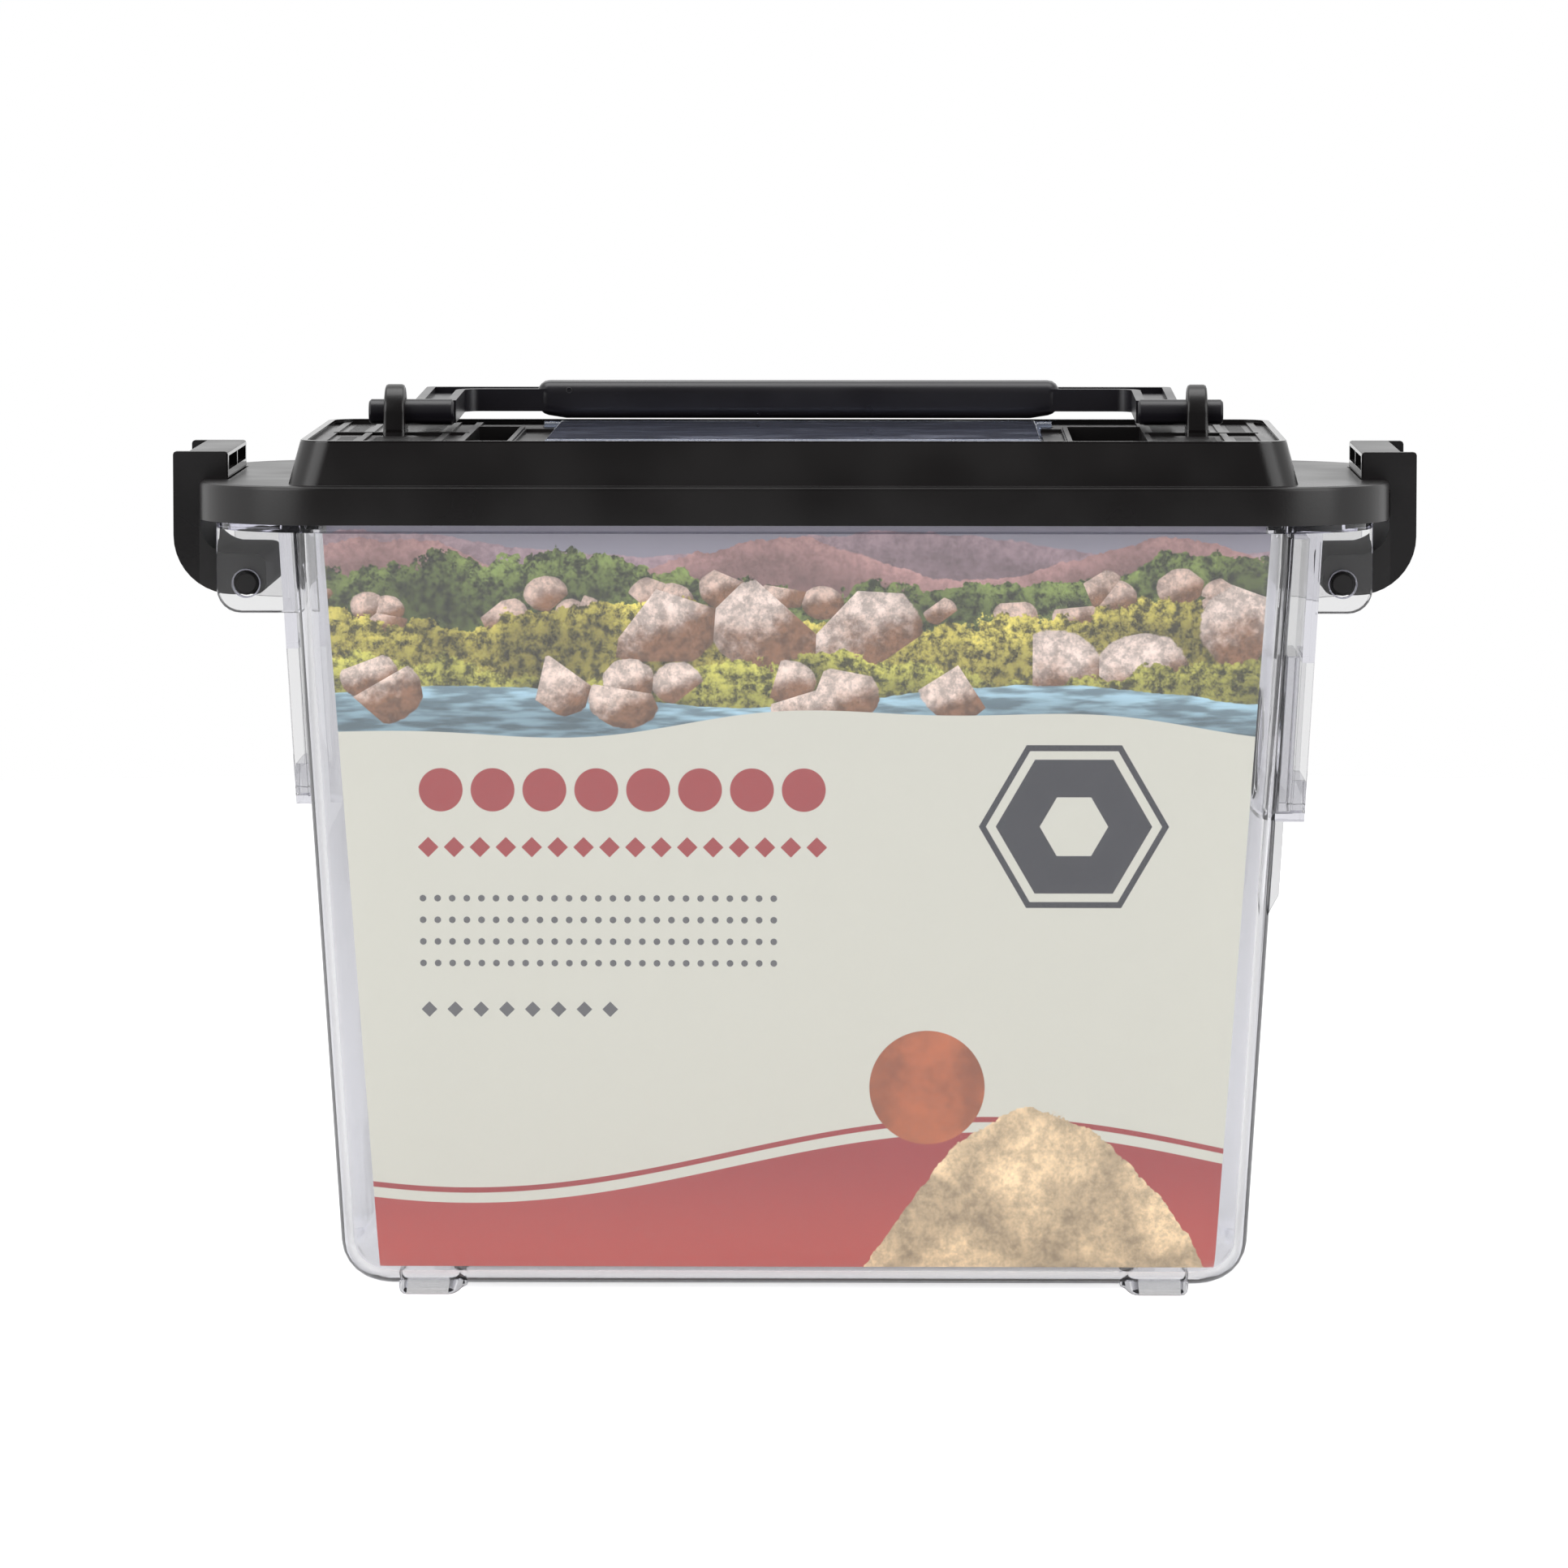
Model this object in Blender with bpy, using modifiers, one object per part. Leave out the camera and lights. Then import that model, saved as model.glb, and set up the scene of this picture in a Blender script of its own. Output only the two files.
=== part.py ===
# Feeder insect keeper: a clear drafted tub under a black latched lid with a folding carry handle,
# a lift-up trapdoor, a lifting gate over a tube port at each end, and two dark hiding tubes inside.
# Metres, +Z up, front towards -Y. The origin is on the table under the middle of the tub.
import math

import bmesh
import bpy
from mathutils import Matrix, Vector

# Driving dimensions of the whole
FLANGE_HALF_X = 0.0978        # lid flange
FLANGE_HALF_Y = 0.0440
FLANGE_TOP = 0.1342
BODY_BOTTOM = 0.0015
DRAFT_ANGLE = math.radians(3.4)

# Fits
RUN_GAP = 0.0003              # between pieces that touch or run on each other
OVERRUN = 0.0010              # how far a cutter passes the face that it opens
ROOT_DEPTH = 0.0008           # how far a moulded rib reaches into the wall that carries it
WELD_GAP = 0.00001            # points closer than this are one point

# Lid
SKIRT = 0.0018
SKIRT_HEIGHT = 0.0063
FLANGE_BOTTOM = FLANGE_TOP - SKIRT_HEIGHT
FLANGE_CORNER = 0.0210
FLANGE_EDGE = 0.0007
FLANGE_PLATE = 0.0020
DECK_SETBACK_X = 0.0155       # from the flange's edge to the deck's foot
DECK_SETBACK_Y = 0.0030
DECK_LEAN_X = 0.0019          # how far the deck's walls lean in
DECK_LEAN_Y = 0.0020
DECK_HEIGHT = 0.0072
DECK_BASE_HALF_X = FLANGE_HALF_X - DECK_SETBACK_X
DECK_BASE_HALF_Y = FLANGE_HALF_Y - DECK_SETBACK_Y
DECK_TOP_HALF_X = DECK_BASE_HALF_X - DECK_LEAN_X
DECK_TOP_HALF_Y = DECK_BASE_HALF_Y - DECK_LEAN_Y
DECK_CORNER = 0.0052
DECK_TOP = FLANGE_TOP + DECK_HEIGHT
DECK_WALL = 0.0020
PANEL_DEPTH = 0.0009
DECK_FLOOR = DECK_TOP - PANEL_DEPTH    # sunk panel inside the deck's rim
DECK_PLATE = 0.0024
DECK_RIM = 0.0011
BEAD_HEIGHT = 0.0004
BEAD_WIDTH = 0.0012
CROSS_BEAD_HEIGHT = 0.0005
BEAD_X_SHARES = (0.960, 0.886, 0.725, 0.678)   # of the deck's half length

# Tub
WALL = 0.0020
BODY_CORNER = 0.0095
BASE_ROUND = 0.0068
RIM_GAP = 0.0010              # from the rim plate to the lid's skirt
RIM_DROP = 0.0014             # how far the rim plate shows under the skirt
RIM_THICK = 0.0018
RIM_OVERHANG_X = 0.0130       # from the wall's outer face to the rim plate's edge
RIM_OVERHANG_Y = 0.0008
RIM_HALF_X = FLANGE_HALF_X - SKIRT - RIM_GAP
RIM_HALF_Y = FLANGE_HALF_Y - SKIRT - RIM_GAP
RIM_CORNER = FLANGE_CORNER - SKIRT - RIM_GAP
RIM_BOTTOM = FLANGE_BOTTOM - RIM_DROP
BODY_HALF_X = RIM_HALF_X - RIM_OVERHANG_X      # tub wall's outer face at the rim plate
BODY_HALF_Y = RIM_HALF_Y - RIM_OVERHANG_Y
FOOT_MID_X = 0.0595
FOOT_LENGTH = 0.0113
FOOT_WIDTH = 0.0110
FOOT_MID_Y = 0.0250
FOOT_TOE = 0.0012             # radius at the outer end of the sole
FOOT_HEEL = 0.0030            # radius at the inner end
FOOT_SLANT = 0.0032           # how far the inner end leans
FOOT_LEAN = 0.0020            # how far the front and back faces lean in towards the tub
FOOT_EDGE = 0.0005

# Latches
LATCH_HALF_Y = 0.0198
LATCH_BACK = 0.0044           # thickness outside the flange
HOOK_REACH = 0.0044           # over the flange
HOOK_THICK = 0.0045
LATCH_OUT_X = FLANGE_HALF_X + RUN_GAP + LATCH_BACK
LATCH_TIP_X = FLANGE_HALF_X - HOOK_REACH
LATCH_TOP = FLANGE_TOP + HOOK_THICK
LATCH_PIN_SETBACK = 0.0075    # from the flange's edge
LATCH_PIN_DROP = 0.0108       # below the skirt
LATCH_PIN_X = FLANGE_HALF_X - LATCH_PIN_SETBACK
LATCH_PIN_Z = FLANGE_BOTTOM - LATCH_PIN_DROP
LATCH_PIN_RADIUS = 0.00195
LATCH_HEEL_RADIUS = 0.0097
LATCH_THROAT_RADIUS = 0.0052
KNUCKLE_REACH = 0.0032        # from the pin's middle inwards
KNUCKLE_RISE = 0.0047
KNUCKLE_IN_X = LATCH_PIN_X - KNUCKLE_REACH
KNUCKLE_TOP = LATCH_PIN_Z + KNUCKLE_RISE
KNUCKLE_CORNER = 0.0018
LATCH_EDGE = 0.0005
SEAT_MARGIN = 0.0004          # sloped seat beyond the hook's tip
SEAT_IN_X = LATCH_TIP_X - SEAT_MARGIN
SEAT_SLOPE = math.radians(22.0)
SCOOP_RADIUS = 0.0092
SCOOP_DROP = 0.0020           # its middle below the latch's top
SCOOP_SKIN = 0.0016           # wall left between the scoop and the throat
LATCH_CHEEK = 0.0018          # full-height slice at each end of a latch
HOOK_CORE_DEPTH = 0.0040
HOOK_CORE_FLOOR = 0.0011
HOOK_CORE_ROOF = 0.0008
HOOK_RIB = 0.0010

# Latch lugs on the tub
LUG_THICK = 0.0022
LUG_MARGIN = 0.0049           # from the pin's middle to the plate's outer and lower edges
LUG_OUT_X = LATCH_PIN_X + LUG_MARGIN
LUG_BOTTOM = LATCH_PIN_Z - LUG_MARGIN
LUG_CORNER = 0.0040
LUG_EDGE = 0.0005

# Port housings and gates on the end walls
PORT_LANE_Y = 0.0150
HOUSING_PROUD = 0.0047
HOUSING_SKIN = 0.0020
CHEEK_THICK = 0.0015
GATE_DROP = 0.0465            # from the rim plate down to the gate's foot
GATE_SILL = 0.0015
GATE_WIDTH = 0.0256
GATE_HEIGHT = 0.0256
GATE_TRAVEL = 0.0190
GATE_LIP_HEIGHT = 0.0050
GATE_LIP_WIDTH = 0.0200
GATE_BOTTOM = RIM_BOTTOM - GATE_DROP
GATE_TOP = GATE_BOTTOM + GATE_HEIGHT
GATE_LIP_TOP = GATE_BOTTOM + GATE_LIP_HEIGHT
PORT_BOTTOM = GATE_BOTTOM - GATE_SILL
WINDOW_WIDTH = 0.0222
WINDOW_LAP = 0.0011           # of the closed gate over the window's top edge
WINDOW_TOP = GATE_TOP - WINDOW_LAP
PORT_RADIUS = 0.0093
PORT_RISE = 0.0102            # from the gate's foot to the bore's middle
PORT_MID_Z = GATE_BOTTOM + PORT_RISE
GUIDE_PROUD = 0.0013
GUIDE_LENGTH = 0.0163
GUIDE_END = PORT_BOTTOM - GUIDE_LENGTH
GUIDE_SLANT = 0.0042

# Carry handle and its ears
EAR_SETBACK = 0.0135          # from the deck's edge
EAR_X = DECK_TOP_HALF_X - EAR_SETBACK
EAR_THICK = 0.0038
EAR_TOP_THICK = 0.0033
EAR_RADIUS = 0.0046
EAR_EDGE = 0.0006
HANDLE_PIN_RISE = 0.0039      # above the sunk panel
HANDLE_PIN_Z = DECK_FLOOR + HANDLE_PIN_RISE
HANDLE_PIN_RADIUS = 0.0021
PIN_PROUD = 0.0025            # outside the ear
PIN_EDGE = 0.0004             # chamfer at the ends of every pin
HANDLE_PIN_END_X = EAR_X + EAR_THICK / 2 + PIN_PROUD
HANDLE_SIDE_GAP = 0.0013      # from an arm to its ear
HANDLE_HALF_X = EAR_X - EAR_THICK / 2 - HANDLE_SIDE_GAP
HANDLE_REACH = 0.0382         # pivot to the back of the bar
HANDLE_THICK = 0.0038
ARM_WIDTH = 0.0069
BAR_DEPTH = 0.0070
HANDLE_CORNER = 0.0014
HANDLE_FILLET = 0.0025
HANDLE_RIM = 0.0015
HANDLE_WEB = 0.0028
HANDLE_LIFT = math.radians(1.0)
GRIP_HALF_X = 0.0446
GRIP_HEIGHT = 0.0063
GRIP_ROUND = 0.0020
GRIP_TAPER = 0.0050           # length of the slope under each end of the grip
GRIP_RISE = 0.0008

# Vent slots beside the ears
VENT_WIDTH = 0.0011
VENT_BAR = 0.0011             # left between two slots
VENT_SIDE_GAP = 0.0010        # from a slot's end to the bead beside it
VENT_EAR_GAP = 0.0022
VENT_MARGIN = 0.0045          # from the deck's edge
VENT_START_Y = EAR_RADIUS + VENT_EAR_GAP
VENT_END_Y = DECK_TOP_HALF_Y - VENT_MARGIN
VENT_BAYS = 2                 # spaces between beads that have slots, from the end of the lid

# Trapdoor and the pocket that it closes
DOOR_HALF_X = 0.0410
DOOR_FRONT_MARGIN = 0.0026    # from the deck's edge
DOOR_HINGE_MARGIN = 0.0107
DOOR_FRONT_Y = DOOR_FRONT_MARGIN - DECK_TOP_HALF_Y
DOOR_HINGE_Y = DECK_TOP_HALF_Y - DOOR_HINGE_MARGIN
DOOR_THICK = 0.0020
DOOR_SINK = 0.0009            # of its underside below the sunk panel
DOOR_BOTTOM = DECK_FLOOR - DOOR_SINK
DOOR_EDGE = 0.0008
DOOR_PIN_RADIUS = 0.0009
DOOR_PIN_LENGTH = 0.0022
DOOR_LEDGE = 0.0028           # how far the door laps over its seat
DOOR_BACK_LEDGE = 0.0014

# Finger wells beside the door
WELL_LEFT_OFFSET = 0.0060     # from the door's end
WELL_LEFT_WIDTH = 0.0070
WELL_RIGHT_OFFSET = 0.0047
WELL_RIGHT_WIDTH = 0.0123
WELL_LEFT_X = (-DOOR_HALF_X - WELL_LEFT_OFFSET - WELL_LEFT_WIDTH, -DOOR_HALF_X - WELL_LEFT_OFFSET)
WELL_RIGHT_X = (DOOR_HALF_X + WELL_RIGHT_OFFSET, DOOR_HALF_X + WELL_RIGHT_OFFSET + WELL_RIGHT_WIDTH)
WELL_FRONT_Y = -0.0300
WELL_BACK_Y = 0.0215
WELL_DEPTH = 0.0030
WELL_WALL = 0.0011
WELL_LIP = 0.0008             # width of the raised frame round a well
SHELF_DEPTH = 0.0006          # shallow recess between a well and the door
SHELF_RIB = 0.0010            # left between the two

# Card and hiding tubes
CARD_THICK = 0.0005
CARD_RISE = 0.0040            # above the rim plate's underside
CARD_TOP = RIM_BOTTOM + CARD_RISE
CARD_TOP_SIDE_GAP = 0.0030    # each side, to the inner face of the end wall
CARD_BOTTOM_SIDE_GAP = 0.0038
CARD_SLIP = 0.0005            # how far the loose card stands to the right of the middle
TUBE_RADIUS = 0.0090
TUBE_BORE = 0.0074
TUBE_LENGTH = 0.1200
TUBE_END_WALL = 0.0016
TUBE_COLLAR = 0.0004
TUBE_GROOVES = 9
TUBE_GROOVE = 0.0005
GROOVE_START_SHARE = 0.7      # of the pitch, from the closed end to the first groove
TUBE_GAP = 0.0030             # between the two tubes
TUBE_SPACING = 2 * TUBE_RADIUS + TUBE_GAP

OBJECT_NAME = "insect_keeper"


# Scene and collections

for old in list(bpy.data.objects):
    bpy.data.objects.remove(old, do_unlink=True)

parts = bpy.data.collections.new(OBJECT_NAME)
cutters = bpy.data.collections.new("cutters")
bpy.context.scene.collection.children.link(parts)
bpy.context.scene.collection.children.link(cutters)


def plastic(name, color, roughness, alpha=1.0):
    mat = bpy.data.materials.new(name)
    mat.use_nodes = True
    shader = mat.node_tree.nodes["Principled BSDF"]
    shader.inputs["Base Color"].default_value = (*color, 1.0)
    shader.inputs["Roughness"].default_value = roughness
    shader.inputs["Metallic"].default_value = 0.0
    shader.inputs["Alpha"].default_value = alpha
    return mat


clear_tub = plastic("clear_styrene", (0.80, 0.82, 0.86), 0.08, 0.35)
clear_door = plastic("clear_door", (0.62, 0.66, 0.74), 0.08, 0.40)
black_matt = plastic("black_matt", (0.020, 0.019, 0.020), 0.50)
black_tube = plastic("black_textured", (0.012, 0.012, 0.013), 0.75)
card_print = plastic("printed_card", (0.74, 0.72, 0.62), 0.55)


# Shape helpers

def place(mesh_or_bm, name, mat=None, cutter=False):
    """Make an object of a bmesh or a mesh, in the parts or in the cutters."""
    if isinstance(mesh_or_bm, bmesh.types.BMesh):
        mesh = bpy.data.meshes.new(name)
        mesh_or_bm.to_mesh(mesh)
        mesh_or_bm.free()
    else:
        mesh = mesh_or_bm
    obj = bpy.data.objects.new(name, mesh)
    if cutter:
        cutters.objects.link(obj)
        obj.hide_render = True
        obj.display_type = "WIRE"
    else:
        parts.objects.link(obj)
    if mat:
        mesh.materials.append(mat)
    return obj


def slab(x, y, z):
    """A box between two corners, given as a pair for each axis."""
    bm = bmesh.new()
    bmesh.ops.create_cube(bm, size=1.0)
    size = Vector((x[1] - x[0], y[1] - y[0], z[1] - z[0]))
    middle = Vector((x[1] + x[0], y[1] + y[0], z[1] + z[0])) / 2
    bmesh.ops.scale(bm, vec=size, verts=bm.verts)
    bmesh.ops.translate(bm, vec=middle, verts=bm.verts)
    return bm


def round_edges(bm, test, radius, segments):
    """Bevel each edge whose two ends pass the test."""
    bm.verts.ensure_lookup_table()
    edges = [e for e in bm.edges if test(e.verts[0].co, e.verts[1].co)]
    bmesh.ops.bevel(bm, geom=edges, offset=radius, offset_type="OFFSET", segments=segments,
                    profile=0.5, affect="EDGES", clamp_overlap=True)


def upright(a, b):
    """True for an edge that runs between the bottom and the top of a drafted box."""
    return abs(a.z - b.z) > max(abs(a.x - b.x), abs(a.y - b.y)) * 2


def drafted_box(bottom_half, top_half, z, corner, segments=6):
    """A rounded box whose half sizes change from the bottom to the top."""
    bm = slab((-1, 1), (-1, 1), z)
    for v in bm.verts:
        half = bottom_half if v.co.z < (z[0] + z[1]) / 2 else top_half
        v.co.x *= half[0]
        v.co.y *= half[1]
    round_edges(bm, upright, corner, segments)
    return bm


def rod(axis, radius, span, beside, z, segments=24, edge=0.0):
    """A round rod along X or Y, at a place on the other axis. Its ends can be chamfered."""
    bm = bmesh.new()
    bmesh.ops.create_cone(bm, cap_ends=True, segments=segments, radius1=radius, radius2=radius,
                          depth=abs(span[1] - span[0]))
    if edge:
        round_edges(bm, lambda a, b: a.z * b.z > 0, edge, 1)
    middle = (span[0] + span[1]) / 2
    if axis == "X":
        turn, place_at = Matrix.Rotation(math.pi / 2, 4, "Y"), (middle, beside, z)
    else:
        turn, place_at = Matrix.Rotation(math.pi / 2, 4, "X"), (beside, middle, z)
    bmesh.ops.transform(bm, matrix=Matrix.Translation(place_at) @ turn, verts=bm.verts)
    return bm


def arc(cx, cz, radius, start, end, steps):
    """Points of an arc in a plane, its angles in degrees."""
    turns = [math.radians(start + (end - start) * i / steps) for i in range(steps + 1)]
    return [(cx + radius * math.cos(t), cz + radius * math.sin(t)) for t in turns]


def outline_along_y(points, y_from, y_to, edge=0.0):
    """A flat outline in X and Z, filled and extruded along Y, as a mesh. Its rims can be rounded."""
    curve = bpy.data.curves.new("outline", "CURVE")
    curve.dimensions = "2D"
    curve.fill_mode = "BOTH"
    curve.extrude = abs(y_to - y_from) / 2 - edge
    curve.bevel_depth = edge
    curve.bevel_resolution = 1
    curve.offset = -edge
    spline = curve.splines.new("POLY")
    spline.points.add(len(points) - 1)
    for point, (x, z) in zip(spline.points, points):
        point.co = (x, z, 0.0, 1.0)
    spline.use_cyclic_u = True
    holder = bpy.data.objects.new("outline", curve)
    cutters.objects.link(holder)
    bpy.context.view_layer.update()
    evaluated = holder.evaluated_get(bpy.context.evaluated_depsgraph_get())
    bm = bmesh.new()
    mesh = bpy.data.meshes.new_from_object(evaluated)
    bm.from_mesh(mesh)
    bpy.data.objects.remove(holder)
    bpy.data.meshes.remove(mesh)
    bmesh.ops.remove_doubles(bm, verts=bm.verts, dist=WELD_GAP)
    turn = Matrix.Rotation(math.pi / 2, 4, "X")
    move = Matrix.Translation((0, (y_from + y_to) / 2, 0))
    bmesh.ops.transform(bm, matrix=move @ turn, verts=bm.verts)
    bmesh.ops.recalc_face_normals(bm, faces=bm.faces)
    return bm


def outline_along_x(points, x_from, x_to, edge=0.0):
    """A flat outline in Y and Z, extruded along X."""
    bm = outline_along_y(points, x_from, x_to, edge)
    bmesh.ops.transform(bm, matrix=Matrix.Rotation(math.pi / 2, 4, "Z"), verts=bm.verts)
    for v in bm.verts:
        v.co.x, v.co.y = -v.co.x, v.co.y
    bmesh.ops.recalc_face_normals(bm, faces=bm.faces)
    return bm


def join(target, *tools):
    apply_booleans(target, tools, "UNION")


def cut(target, *tools):
    apply_booleans(target, tools, "DIFFERENCE")


def apply_booleans(target, tools, operation):
    """Join or cut an object with bmeshes, one after the other, and keep only the result."""
    for tool in tools:
        helper = place(tool, target.name + "_tool", cutter=True)
        mod = target.modifiers.new("boolean", "BOOLEAN")
        mod.operation = operation
        mod.solver = "EXACT"
        mod.object = helper
        bpy.context.view_layer.update()
        evaluated = target.evaluated_get(bpy.context.evaluated_depsgraph_get())
        mesh = bpy.data.meshes.new_from_object(evaluated)
        target.modifiers.clear()
        old = target.data
        target.data = mesh
        bpy.data.meshes.remove(old)
        bpy.data.objects.remove(helper, do_unlink=True)


def finish(obj, angle=35.0):
    """Clean flat leftovers of the cuts and shade the round faces smooth."""
    bm = bmesh.new()
    bm.from_mesh(obj.data)
    bmesh.ops.remove_doubles(bm, verts=bm.verts, dist=WELD_GAP)
    bmesh.ops.dissolve_limit(bm, angle_limit=math.radians(0.5), verts=bm.verts, edges=bm.edges)
    bmesh.ops.triangulate(bm, faces=bm.faces)
    bm.to_mesh(obj.data)
    bm.free()
    obj.data.shade_smooth()
    obj.data.set_sharp_from_angle(angle=math.radians(angle))


def set_pivot(obj, pivot):
    """Move an object's origin to its joint and leave its shape where it is."""
    obj.data.transform(Matrix.Translation(-Vector(pivot)))
    obj.location = pivot


# The tub's drafted walls

def wall_x(z):
    """Outer face of the end wall at a height."""
    return BODY_HALF_X - (RIM_BOTTOM - z) * math.tan(DRAFT_ANGLE)


def wall_y(z):
    """Outer face of the front and back walls at a height."""
    return BODY_HALF_Y - (RIM_BOTTOM - z) * math.tan(DRAFT_ANGLE)


BODY_TOP = FLANGE_TOP - FLANGE_PLATE - RUN_GAP


def tub_skin(inset, z_low, z_high):
    """The tub's outer form, or with an inset its inner form."""
    low = (wall_x(z_low) - inset, wall_y(z_low) - inset)
    high = (wall_x(z_high) - inset, wall_y(z_high) - inset)
    bm = drafted_box(low, high, (z_low, z_high), BODY_CORNER - inset, 7)
    base = z_low + RUN_GAP

    def on_base(a, b):
        return a.z < base and b.z < base

    round_edges(bm, on_base, BASE_ROUND - inset, 6)
    return bm


def port_housing(side):
    """Block on an end wall that the gate runs in. Its outer face follows the wall's draft."""
    lane = -side * PORT_LANE_Y
    half = GATE_WIDTH / 2 + RUN_GAP + CHEEK_THICK
    bm = slab((0, 1), (lane - half, lane + half), (PORT_BOTTOM, RIM_BOTTOM + ROOT_DEPTH))
    for v in bm.verts:
        base = wall_x(v.co.z)
        v.co.x = side * (base + HOUSING_PROUD if v.co.x > 0.5 else base - ROOT_DEPTH)
    if side < 0:
        bmesh.ops.reverse_faces(bm, faces=bm.faces)
    return bm


def housing_space(side, half, near, far, z):
    """A cutter inside a port housing, between two distances from the wall's face."""
    lane = -side * PORT_LANE_Y
    bm = slab((0, 1), (lane - half, lane + half), z)
    for v in bm.verts:
        v.co.x = side * (wall_x(v.co.z) + (far if v.co.x > 0.5 else near))
    if side < 0:
        bmesh.ops.reverse_faces(bm, faces=bm.faces)
    return bm


def guide_rib(side, lane_offset):
    """Low rib under a port housing, its lower end slanted into the wall."""
    lane = -side * PORT_LANE_Y + lane_offset
    bm = slab((0, 1), (lane - CHEEK_THICK / 2, lane + CHEEK_THICK / 2), (GUIDE_END, PORT_BOTTOM + ROOT_DEPTH))
    for v in bm.verts:
        outer = v.co.x > 0.5
        if outer and v.co.z < PORT_BOTTOM:
            v.co.z += GUIDE_SLANT
        v.co.x = side * (wall_x(v.co.z) + (GUIDE_PROUD if outer else -ROOT_DEPTH))
    if side < 0:
        bmesh.ops.reverse_faces(bm, faces=bm.faces)
    return bm


LUG_IN_Y = LATCH_HALF_Y + RUN_GAP + RUN_GAP


def lug(side, end):
    """Plate that hangs from the rim and carries one end of a latch's pin."""
    root = wall_x(LUG_BOTTOM) - ROOT_DEPTH
    if end == -side:
        root = wall_x(LUG_BOTTOM) + HOUSING_PROUD - ROOT_DEPTH
    top = RIM_BOTTOM + ROOT_DEPTH
    corner = arc(LUG_OUT_X - LUG_CORNER, LUG_BOTTOM + LUG_CORNER, LUG_CORNER, -90, 0, 6)
    points = [(root, top), (root, LUG_BOTTOM)] + corner + [(LUG_OUT_X, top)]
    y = (LUG_IN_Y, LUG_IN_Y + LUG_THICK)
    return outline_along_y([(side * px, pz) for px, pz in points], end * y[0], end * y[1], LUG_EDGE)


def foot(side, end):
    """Boat-shaped foot: upright outer end, leaning inner end, round rims, narrower towards the tub."""
    past_flat = FOOT_MID_Y + FOOT_WIDTH / 2 - (wall_y(BODY_BOTTOM) - BASE_ROUND)
    base_rise = BASE_ROUND - math.sqrt(BASE_ROUND ** 2 - max(0.0, past_flat) ** 2)
    top = BODY_BOTTOM + base_rise + ROOT_DEPTH
    outer = FOOT_MID_X + FOOT_LENGTH / 2
    inner = FOOT_MID_X - FOOT_LENGTH / 2
    points = [(inner, BODY_BOTTOM), (inner, top), (outer, top)]
    points += arc(outer - FOOT_TOE, FOOT_TOE, FOOT_TOE, 0, -90, 3)
    points += arc(inner + FOOT_SLANT, FOOT_HEEL, FOOT_HEEL, -90, -140, 4)
    y = (FOOT_MID_Y - FOOT_WIDTH / 2, FOOT_MID_Y + FOOT_WIDTH / 2)
    bm = outline_along_y([(side * px, pz) for px, pz in points], end * y[0], end * y[1], FOOT_EDGE)
    for v in bm.verts:
        lean = math.copysign(FOOT_LEAN, v.co.y - end * FOOT_MID_Y)
        v.co.y -= lean * v.co.z / top
    return bm


def make_tub():
    tub = place(tub_skin(0, BODY_BOTTOM, BODY_TOP), "tub", clear_tub)
    rim_half = (RIM_HALF_X, RIM_HALF_Y)
    rim = drafted_box(rim_half, rim_half, (RIM_BOTTOM, RIM_BOTTOM + RIM_THICK), RIM_CORNER, 8)
    join(tub, rim)
    for side in (-1, 1):
        join(tub, port_housing(side))
        for lane_offset in (-1, 1):
            join(tub, guide_rib(side, lane_offset * (GATE_WIDTH / 2 + RUN_GAP + CHEEK_THICK / 2)))
        for end in (-1, 1):
            join(tub, lug(side, end), foot(side, end))
    cut(tub, tub_skin(WALL, BODY_BOTTOM + WALL, BODY_TOP + OVERRUN))
    for side in (-1, 1):
        run = (GATE_BOTTOM - RUN_GAP, GATE_TOP + GATE_TRAVEL + RUN_GAP)
        depth = HOUSING_PROUD - HOUSING_SKIN
        cut(tub, housing_space(side, GATE_WIDTH / 2 + RUN_GAP, 0, depth, run))
        window = (GATE_BOTTOM - RUN_GAP, WINDOW_TOP)
        cut(tub, housing_space(side, WINDOW_WIDTH / 2, depth / 2, HOUSING_PROUD + OVERRUN, window))
        bore = (side * (wall_x(PORT_MID_Z) - WALL - OVERRUN), side * (wall_x(PORT_MID_Z) + depth / 2))
        cut(tub, rod("X", PORT_RADIUS, bore, -side * PORT_LANE_Y, PORT_MID_Z, 32))
        for end in (-1, 1):
            hole = (end * (LUG_IN_Y - OVERRUN), end * (LUG_IN_Y + LUG_THICK + OVERRUN))
            cut(tub, rod("Y", LATCH_PIN_RADIUS + RUN_GAP, hole, side * LATCH_PIN_X, LATCH_PIN_Z))
    finish(tub)
    return tub


def make_gate(name, side):
    """Clear plate that slides up in its housing, with a thumb ledge at its foot."""
    lane = -side * PORT_LANE_Y
    near = RUN_GAP
    far = HOUSING_PROUD - HOUSING_SKIN - RUN_GAP
    obj = place(housing_space(side, GATE_WIDTH / 2, near, far, (GATE_BOTTOM, GATE_TOP)), name, clear_tub)
    ledge = housing_space(side, GATE_LIP_WIDTH / 2, far - RUN_GAP, HOUSING_PROUD, (GATE_BOTTOM, GATE_LIP_TOP))
    for v in ledge.verts:
        if abs(v.co.x) > wall_x(v.co.z) + far and v.co.z < (GATE_BOTTOM + GATE_LIP_TOP) / 2:
            v.co.x = side * (wall_x(GATE_LIP_TOP) + HOUSING_PROUD)
    join(obj, ledge)
    finish(obj)
    set_pivot(obj, (side * wall_x(GATE_BOTTOM), lane, GATE_BOTTOM))
    return obj


# Lid

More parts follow.
